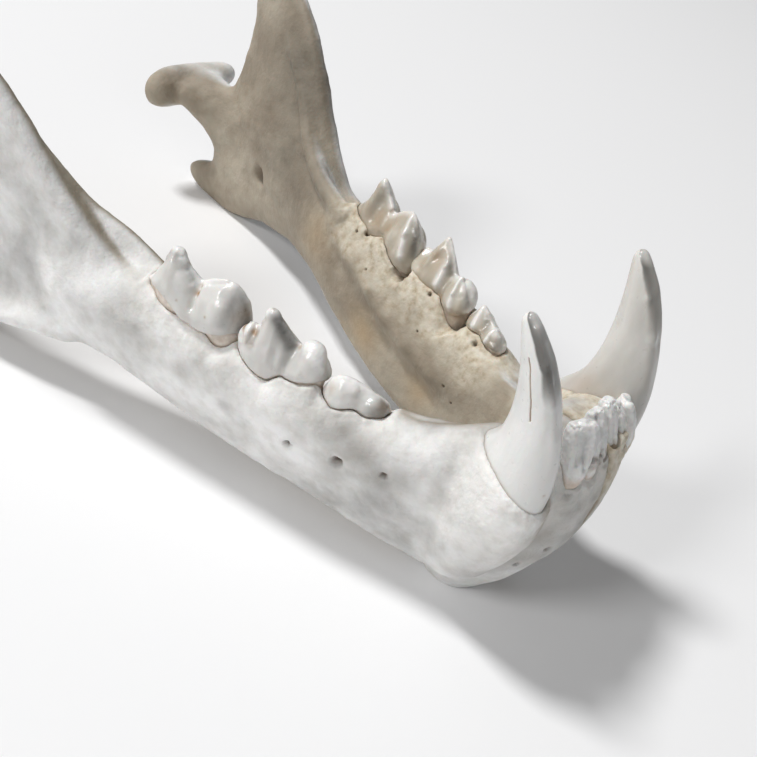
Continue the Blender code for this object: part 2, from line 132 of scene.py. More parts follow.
def keepLargest(item):
    name = item.name
    editMesh(item, lambda: bpy.ops.mesh.separate(type="LOOSE"))
    shells = sorted(bpy.context.selected_objects, key=lambda shell: len(shell.data.vertices))
    removeItems(shells[:-1])
    shells[-1].name = name
    return shells[-1]


def copyPiece(item, name):
    selectOnly(item)
    bpy.ops.object.duplicate(linked=False)
    copy = bpy.context.view_layer.objects.active
    copy.name = name
    return copy


def mirrorPiece(item):
    setPoints(item, getPoints(item) * (-1, 1, 1))
    editMesh(item, bpy.ops.mesh.flip_normals)


def fuse(name, pieces):
    base, others = pieces[0], pieces[1:]
    group = bpy.data.collections.new(name + "Pieces")
    bpy.context.scene.collection.children.link(group)
    for piece in others:
        group.objects.link(piece)
    useModifier(base, "BOOLEAN", operation="UNION", solver="EXACT", operand_type="COLLECTION",
                collection=group)
    removeItems(others)
    bpy.data.collections.remove(group)
    base.name = name
    return keepLargest(base)


# Curves, rings and lofts

def smoothRows(rows, steps):
    table = np.array(rows, dtype=float)
    padded = np.vstack([2 * table[0] - table[1], table, 2 * table[-1] - table[-2]])
    result = []
    for a, b, c, d in zip(padded, padded[1:], padded[2:], padded[3:]):
        for t in (step / steps for step in range(steps)):
            square, cube = 2 * a - 5 * b + 4 * c - d, 3 * b - 3 * c + d - a
            result.append((2 * b + (c - a) * t + square * t ** 2 + cube * t ** 3) / 2)
    result.append(table[-1])
    return result


def oval(count, middle, across, upward, halfAcross, halfUp, squareness=2.0, taper=0.0):
    ring = []
    for i in range(count):
        angle = 2 * math.pi * i / count
        side = math.copysign(abs(math.cos(angle)) ** (2 / squareness), math.cos(angle))
        rise = math.copysign(abs(math.sin(angle)) ** (2 / squareness), math.sin(angle))
        ring.append(middle + across * (halfAcross * side * (1 + taper * rise)) + upward * (halfUp * rise))
    return ring


def loft(name, rings):
    # A filled circle is extruded from station to station and shaped at each one
    count = len(rings[0])
    bpy.ops.object.select_all(action="DESELECT")
    bpy.ops.mesh.primitive_circle_add(vertices=count, radius=1.0, fill_type="NGON")
    item = bpy.context.view_layer.objects.active
    item.name = name
    for vert, point in zip(item.data.vertices, rings[0]):
        vert.co = point
    bpy.ops.object.mode_set(mode="EDIT")
    bpy.ops.mesh.select_all(action="SELECT")
    previous = np.array([point[:] for point in rings[0]])
    for ring in rings[1:]:
        bpy.ops.mesh.extrude_region_move()
        form = bmesh.from_edit_mesh(item.data)
        for vert in [vert for vert in form.verts if vert.select]:
            place = int(((previous - np.array(vert.co[:])) ** 2).sum(axis=1).argmin())
            vert.co = ring[place]
        previous = np.array([point[:] for point in ring])
    bmesh.update_edit_mesh(item.data)
    bpy.ops.mesh.select_all(action="SELECT")
    bpy.ops.mesh.normals_make_consistent(inside=False)
    bpy.ops.object.mode_set(mode="OBJECT")
    return item


def sweep(name, rows, shape, count, steps):
    # shape turns a row of the table into what oval needs
    return loft(name, [oval(count, *shape(*row)) for row in smoothRows(rows, steps)])


def tubeRings(rows, count, steps):
    table = smoothRows(rows, steps)
    rings = []
    for i, (x, y, z, radius) in enumerate(table):
        before, after = table[max(i - 1, 0)], table[min(i + 1, len(table) - 1)]
        along = Vector(after[:3] - before[:3]).normalized()
        across = along.cross(Vector((0, 0, 1))).normalized()
        rings.append(oval(count, Vector((x, y, z)), across, across.cross(along), radius, radius))
    return rings


def smoothStep(low, high, values):
    # From 0 at low to 1 at high; low may be the greater of the two
    t = np.clip((values - low) / (high - low), 0, 1)
    return t * t * (3 - 2 * t)


def buildTree(items):
    corners, faces = [], []
    for item in items:
        start = len(corners)
        corners += [Vector(point) for point in getPoints(item)]
        faces += [[start + i for i in face.vertices] for face in item.data.polygons]
    return BVHTree.FromPolygons(corners, faces)


def gapTo(tree, points, reach):
    # Distance to the surface: negative inside it, and reach where nothing is that near
    gaps = np.full(len(points), float(reach))
    for i, point in enumerate(points):
        spot, normal, face, far = tree.find_nearest(Vector(point), reach)
        if spot is not None:
            gaps[i] = math.copysign(far, (Vector(point) - spot).dot(normal))
    return gaps


def subdivideNear(item, chosen, soften=1):
    selectOnly(item)
    bpy.ops.object.mode_set(mode="EDIT")
    bpy.ops.mesh.select_mode(type="FACE")
    bpy.ops.mesh.select_all(action="DESELECT")
    bpy.ops.object.mode_set(mode="OBJECT")
    item.data.polygons.foreach_set("select", chosen)
    bpy.ops.object.mode_set(mode="EDIT")
    bpy.ops.mesh.subdivide(number_cuts=1, smoothness=0.0)
    bpy.ops.mesh.vertices_smooth(factor=0.5, repeat=soften)
    bpy.ops.object.mode_set(mode="OBJECT")


def strokeShare(points, start, end, radius):
    # How near each point is to a line, from 1 on it to 0
    start, end = np.array(start, dtype=float), np.array(end, dtype=float)
    line = end - start
    along = np.clip((points - start) @ line / max(line @ line, 1e-9), 0, 1)
    apart = np.linalg.norm(points - start - along[:, None] * line, axis=1)
    return np.exp(-(apart / radius) ** 2)


def addStrokes(push, points, strokes, share=1.0):
    for start, end, radius, height in strokes:
        push += height * strokeShare(points, start, end, radius) * share


def spotMask(points, spots, ragged=1.0):
    # The strongest of the spots at each point; a spot is a place or a line, a radius and a strength
    mask = np.zeros(len(points))
    for *line, radius, strength in spots:
        mask = np.maximum(mask, strength * strokeShare(points, line[0], line[-1], radius) ** ragged)
    return mask


# Repeatable noise for the sculpting: values on a lattice, blended smoothly, from -1 to 1

def latticeNoise(points, size, seed):
    scaled = points / size
    base = np.floor(scaled).astype(np.int64)
    part = scaled - base
    part = part * part * (3 - 2 * part)
    total = np.zeros(len(points))
    for corner in range(8):
        step = np.array([corner & 1, (corner >> 1) & 1, (corner >> 2) & 1])
        cell = base + step
        mix = (cell[:, 0] * 374761393 + cell[:, 1] * 668265263 + cell[:, 2] * 2147483647 + seed * 974634777)
        mix = (mix ^ (mix >> 13)) * 1274126177 & 0x7FFFFFFF
        mix = (mix ^ (mix >> 16)) & 0xFFFF
        weight = np.prod(np.where(step, part, 1 - part), axis=1)
        total += weight * (mix / 32767.5 - 1)
    return total


def layeredNoise(points, size, seed, layers=3):
    total, share = np.zeros(len(points)), 1.0
    for layer in range(layers):
        total += share * latticeNoise(points + 17.3 * layer, size, seed + layer)
        size, share = size / 2.1, share * 0.5
    return total


# Jaw bones

jaw = {
    "joinVoxel": 0.8, "joinSoften": 14, "voxel": 0.56, "soften": 2,
    "gap": 0.3, "bodyTaper": 0.2, "finSquareness": 2.5, "neckSquareness": 2.1,
    # x, y, z of the middle, half thickness, half height, heading, lean, squareness
    "body": (
        (10, 14, 19.8, 5.6, 17.2, 46, -3, 2.3), (13.4, 23.5, 20.8, 5.8, 17.1, 30, -5, 2.3),
        (15.6, 30.5, 19.8, 5.6, 15.5, 24, -6, 2.3), (17.4, 38.5, 18.7, 5.8, 13.5, 20, -8, 2.4),
        (20.6, 51.5, 19.3, 6.2, 12.9, 15, -10.5, 2.4), (23.7, 65, 21, 6.4, 12.2, 12, -9, 2.4),
        (27.2, 77.5, 23.2, 6.2, 11.1, 13, -6.5, 2.3), (30.4, 88, 25.4, 5.3, 10.6, 16, -4, 2.2),
        (34, 99, 26.4, 4.1, 11.8, 17, -2, 2.2), (37.2, 111, 24.8, 3.3, 12.5, 15, 0, 2.1),
        (39.8, 122, 22.4, 3.1, 13.2, 12, 0, 2.1), (41.2, 130, 20.2, 2.9, 12.2, 10, 0, 2.1),
        (41.8, 134.6, 18.8, 1.8, 9, 8, 0, 2)),
    # z, y of the front, y of the back, half width, squareness
    "chin": (
        (-1.2, 12.6, 23.4, 8.6, 2.3), (1.2, 10.9, 25.2, 10.2, 2.3), (5, 8, 27.6, 11.2, 2.4),
        (10, 5.2, 28.8, 12.2, 2.5), (16, 2.6, 27.6, 12.6, 2.6), (22, 1.1, 24.8, 12.8, 2.6),
        (29, 0.5, 20.4, 12.8, 2.6), (34, 0.9, 17.2, 12.6, 2.6), (37.4, 2.4, 15.2, 12, 2.6),
        (39.4, 5.6, 13.6, 10, 2.4)),
    # x, y, z, half depth, half width, tilt and turn
    "canineSwelling": (
        (13.9, 11.6, 36, 8.2, 5.6, 18, 24), (13.8, 11.7, 34.4, 9.2, 6.6, 18, 24),
        (13.4, 12.2, 28, 9.4, 7, 17, 20), (12.8, 13.8, 21, 8.4, 6.7, 18, 10),
        (12, 16.6, 13, 7.2, 6, 24, 0), (11.2, 19.6, 8.2, 5.6, 5, 30, 0)),
    # z, y of the front edge, y of the back edge, x, half thickness, heading
    "coronoid": (
        (24, 86, 133.4, 36.4, 3.6, 15), (33, 87.5, 133.8, 36.9, 3.4, 15), (39, 91.5, 132.6, 37.6, 3, 14),
        (46, 97.5, 130.8, 38.6, 2.6, 13), (53, 103, 130.2, 39.8, 2.3, 12),
        (59.5, 108.5, 130.8, 41, 2.1, 11), (64.5, 114, 132, 42, 1.8, 10),
        (67.4, 119.6, 133, 42.8, 1.4, 9), (68.6, 124.8, 132.4, 43.2, 0.8, 9)),
    # x, y, z, radius
    "coronoidCrest": (
        (29.6, 80.5, 29.4, 3.1), (31.2, 87.5, 33.8, 3.1), (33.6, 94.4, 40, 2.9), (35.8, 100.6, 47.4, 2.6),
        (37.8, 106.2, 54.8, 2.3), (39.8, 112.2, 61.2, 2), (41.5, 118.6, 65.6, 1.6), (42.6, 124, 67.8, 1.1)),
    "innerCrest": (
        (24.8, 79, 33.8, 1.9), (25.3, 85, 35.8, 2), (26.9, 91, 38, 2), (29.6, 97, 41.2, 1.8),
        (32.6, 103, 47, 1.5), (34.8, 108.6, 52.6, 1.2), (37.2, 114, 57, 0.9)),
    "fossaRidge": (
        (33.6, 92, 17.4, 2.2), (37.6, 103, 16.4, 2.4), (40.8, 115, 14.2, 2.5), (42.8, 126, 11.8, 2.4),
        (43, 133, 10.8, 2)),
    # x, y, z, half width, half height, heading
    "neck": (
        (40.2, 122, 27, 3, 9.4, 8), (41, 131, 28.6, 3.6, 9, 0), (41, 137.5, 31.4, 5.4, 6.8, -8),
        (40.8, 143.6, 33.4, 8.4, 4.4, -14)),
    "angle": (
        (38.8, 111, 19.4, 2.8, 7.2, 12), (40.4, 119, 16.6, 3.2, 7.8, 10), (41.6, 126.5, 14, 3.5, 7.2, 6),
        (42, 132.6, 12.8, 3.6, 5.6, 0), (41.7, 137.4, 12.4, 3.1, 4, -6),
        (41.2, 140.6, 12.6, 2.2, 2.6, -10), (40.8, 142.4, 12.8, 1, 1.2, -12)),
    # x, y, z, half depth, half height
    "condyle": (
        (28.6, 147.8, 32, 1.8, 2.2), (30.4, 147.6, 32.4, 3.4, 4.2), (34.5, 147, 33, 4.1, 5),
        (39.5, 146, 33.9, 3.9, 4.7), (44.5, 144.8, 35, 3.5, 3.9), (49, 143.6, 35.9, 3, 3.2),
        (51.4, 142.9, 36.3, 1.7, 1.8)),
    # each form's points around and steps between two rows
    "around": {"body": (40, 6), "chin": (48, 4), "canineSwelling": (36, 4), "coronoid": (40, 4),
               "coronoidCrest": (16, 4), "innerCrest": (16, 4), "fossaRidge": (16, 4), "neck": (32, 5),
               "condyle": (32, 4), "angle": (28, 5)},
    # middle, reach, depth pressed along x; a negative depth presses outwards
    "hollows": (
        ((44, 111, 29), (14, 19, 14), -2.3), ((42, 100, 24), (14, 9, 6), -0.8), ((28, 120, 26),
        (14, 13, 11), 1), ((13, 62, 15), (10, 26, 6), 0.8)),
    # holes for nerves and vessels: place, direction inwards, radius, depth
    "holes": (
        ((22.6, 37, 22), (-1, 0.35, 0.1), 1, 1.5), ((24.8, 46, 20.5), (-1, 0.3, 0.1), 0.7, 1.1),
        ((20.6, 29, 24), (-1, 0.5, 0), 0.55, 0.9), ((36.5, 113, 24.5), (0.8, -0.6, 0), 1.9, 3),
        ((6.5, 1.5, 19), (0, 1, 0), 0.55, 1.2), ((9.5, 3.2, 14), (-0.3, 1, 0), 0.5, 1.1), ((3.2, 1.8, 13),
        (0, 1, 0), 0.45, 1)),
}


def atHeading(heading):
    turn = math.radians(heading)
    return Vector((math.cos(turn), -math.sin(turn), 0)), Vector((math.sin(turn), math.cos(turn), 0))


def bodyShape(x, y, z, thick, high, heading, lean, square):
    tip, across = math.radians(lean), atHeading(heading)[0]
    upward = Vector((0, 0, 1)) * math.cos(tip) - across * math.sin(tip)
    return Vector((x, y, z)), across, upward, thick, high, square, jaw["bodyTaper"]


def chinShape(z, front, back, wide, square):
    middle = Vector((0, (front + back) / 2, z))
    return middle, Vector((1, 0, 0)), Vector((0, 1, 0)), wide, (back - front) / 2, square


def stemShape(x, y, z, deep, wide, tilt, turn):
    tip, twist = math.radians(tilt), math.radians(turn)
    sideways = Vector((1, 0, 0))
    backwards = Vector((0, math.cos(tip), math.sin(tip)))
    across = sideways * math.cos(twist) + backwards * math.sin(twist)
    along = backwards * math.cos(twist) - sideways * math.sin(twist)
    return Vector((x, y, z)), across, along, wide, deep


def finShape(z, front, back, x, thick, heading):
    across, along = atHeading(heading)
    halfLength = (back - front) / 2 / math.cos(math.radians(heading))
    return Vector((x, (front + back) / 2, z)), across, along, thick, halfLength, jaw["finSquareness"]


def uprightShape(x, y, z, wide, high, heading):
    return Vector((x, y, z)), atHeading(heading)[0], Vector((0, 0, 1)), wide, high, jaw["neckSquareness"]


def condyleShape(x, y, z, deep, high):
    return Vector((x, y, z)), Vector((0, 1, 0)), Vector((0, 0, 1)), deep, high


canine = {
    # x, y, z, half depth, half width, tilt and turn, from the root to the tip
    "axis": (
        (12.8, 14.2, 21.5, 5.4, 3.9, 16, 28), (13.2, 12.8, 26, 6.9, 4.6, 14, 28),
        (13.7, 11.5, 31, 7.7, 5, 10, 28), (14.3, 10.6, 36, 7.2, 4.7, 2, 28),
        (15, 10.2, 41, 6.1, 4.1, -6, 28), (15.8, 10.5, 46, 5, 3.4, -13, 28),
        (16.5, 11.5, 51, 4.1, 2.85, -20, 28), (17.1, 13.2, 55.8, 3.1, 2.3, -27, 28),
        (17.6, 15.1, 59.4, 2.05, 1.72, -33, 28), (17.85, 16.2, 61.3, 1.42, 1.24, -35, 28),
        (17.93, 16.6, 61.95, 1.02, 0.92, -36, 28), (17.96, 16.75, 62.25, 0.62, 0.56, -36, 28),
        (17.97, 16.8, 62.38, 0.2, 0.18, -36, 28)),
    # along the flank: start, end, radius, height
    "strokes": {
        "right": (
            ((18.7, 14.6, 61), (19.2, 11, 57), 0.55, 0.3), ((19.2, 11, 57), (18.8, 8.2, 51.6), 0.7, 0.28),
            ((18.8, 8.2, 51.6), (18.2, 6, 46), 0.9, 0.15), ((18.1, 12.2, 60),
            (17.6, 8.4, 55), 1.1, -0.35), ((17.6, 8.4, 55), (16.8, 6, 48), 1.3, -0.3), ((19.8, 14, 55),
            (19.6, 12.6, 46), 1.2, -0.15)),
        "left": (
            ((15.9, 14, 60.5), (15.5, 11.4, 56.3), 0.6, 0.26), ((15.5, 11.4, 56.3),
            (15.4, 7.8, 50.5), 0.8, 0.3), ((15.4, 7.8, 50.5), (14.9, 4.9, 41.5), 1, 0.22),
            ((17.4, 9.6, 56.5), (17, 6.4, 50), 1.3, -0.3), ((17, 6.4, 50), (16.4, 4.4, 43), 1.4, -0.2),
            ((13, 12.5, 50), (11.6, 11, 42), 1.8, -0.15))},
    # a crack runs through the points of its line
    "cracks": {
        "right": {"line": ((19.5, 13.8, 56.8), (19.5, 12.7, 54.7), (19.6, 11.1, 51.1), (19.6, 10, 47.9)),
        "width": 0.115, "depth": 0.3, "stain": 0.9, "nicks": (((17.4, 4.2, 36.5), 0.3, 0.1),),
        "tints": (((17.6, 14.4, 36), 3, 0.06),)},
        "left": {"line": ((13, 4.6, 34.5), (13.2, 4.6, 37), (13.5, 4.8, 39)), "width": 0.1, "depth": 0.08,
        "stain": 0.4, "nicks": (((12.6, 11, 41.5), 0.3, 0.2), ((12.9, 10.2, 41.8), 0.25, 0.15),
        ((14.3, 13.6, 50.5), 0.4, 0.25)), "tints": (((10.6, 13.5, 38.5), 3.4, 0.3),
        ((11, 9.5, 37.5), 2.8, 0.22))}},
    # painted shade and dark reflection down the front: height, angle of its edge, strength
    "shadeBands": {"right": ((40, 300, 0), (46.5, 294, 0), (51, 293, 0.12), (54, 296, 0.75), (56, 296, 1),
    (59, 300, 1), (60.8, 310, 0.95), (61.8, 324, 0.8)), "left": ((34, 215, 0.36), (40, 215, 0.32),
    (46.5, 214, 0.2), (51, 202, 0.25), (56, 198, 0.5), (60.6, 186, 0.95), (61.8, 166, 0.45))},
    "heel": {"angle": 58, "spread": 34, "size": 2, "level": 35, "reachUp": 7, "reachDown": 8.0},
    "grooves": ((62, 0.05), (118, 0.035), (-75, 0.03)),
    # the grooves begin at a height and deepen over a length, then fade out towards another height
    "grooveSpan": (38, 6, 60, 8), "grooveSpread": 12,
    "shadeBandEdges": {"waver": 3, "paler": 0.5, "fade": (12, 60), "start": (-6, 7), "end": (110, 70)},
    # The first of these brightens each whole canine: on the right partly its whiter enamel, partly painted
    # light as on its lit flank; then the pale wear of the tip
    "paintedLightAndWear": {"right": 0.5, "left": 0.1}, "tipWear": (60.5, 62.2, 0.3), "around": 112, "steps": 16,
}


def angleShare(angle, place, spread):
    apart = abs((angle - place + 180) % 360 - 180)
    return math.exp(-(apart / spread) ** 2)


def canineRings():
    count, heel, rings = canine["around"], canine["heel"], []
    for row in smoothRows(canine["axis"], canine["steps"]):
        ring, middle, z = oval(count, *stemShape(*row)), Vector(row[:3]), row[2]
        above = z - heel["level"]
        fullness = max(1 - abs(above) / (heel["reachUp"] if above > 0 else heel["reachDown"]), 0) ** 1.5
        low, rise, high, fall = canine["grooveSpan"]
        grooved = min(max((z - low) / rise, 0), 1) * min(max((high - z) / fall, 0), 1)
        for i in range(count):
            angle, outwards = 360.0 * i / count, ring[i] - middle
            swelling = heel["size"] * fullness * angleShare(angle, heel["angle"], heel["spread"])
            ring[i] += outwards.normalized() * swelling
            for place, depth in canine["grooves"]:
                ring[i] -= outwards * depth * grooved * angleShare(angle, place, canine["grooveSpread"])
        rings.append(ring)
    return rings


def buildBone():
    shapes = {"body": bodyShape, "chin": chinShape, "canineSwelling": stemShape, "coronoid": finShape,
              "neck": uprightShape, "condyle": condyleShape, "angle": uprightShape}
    pieces = []
    for name, counts in jaw["around"].items():
        if name in shapes:
            pieces.append(sweep(name, jaw[name], shapes[name], *counts))
        else:
            pieces.append(loft(name, tubeRings(jaw[name], *counts)))
    bone = fuse("mandibleBone", pieces)
    seam = {"plane_co": (jaw["gap"] / 2, 0, 0), "plane_no": (-1, 0, 0), "use_fill": True, "clear_outer": True}
    useModifier(bone, "REMESH", mode="VOXEL", voxel_size=jaw["joinVoxel"])
    useModifier(bone, "SMOOTH", factor=0.5, iterations=jaw["joinSoften"])
    editMesh(bone, lambda: bpy.ops.mesh.bisect(**seam))
    useModifier(bone, "REMESH", mode="VOXEL", voxel_size=jaw["voxel"])
    useModifier(bone, "SMOOTH", factor=0.5, iterations=jaw["soften"])
    return keepLargest(bone)


print("jaw bones: joining the forms")
boneLeft = buildBone()
boneRight = copyPiece(boneLeft, "boneRight")
boneLeft.name = "boneLeft"
print("jaw bones:", len(boneLeft.data.polygons), "faces each before the fine work")
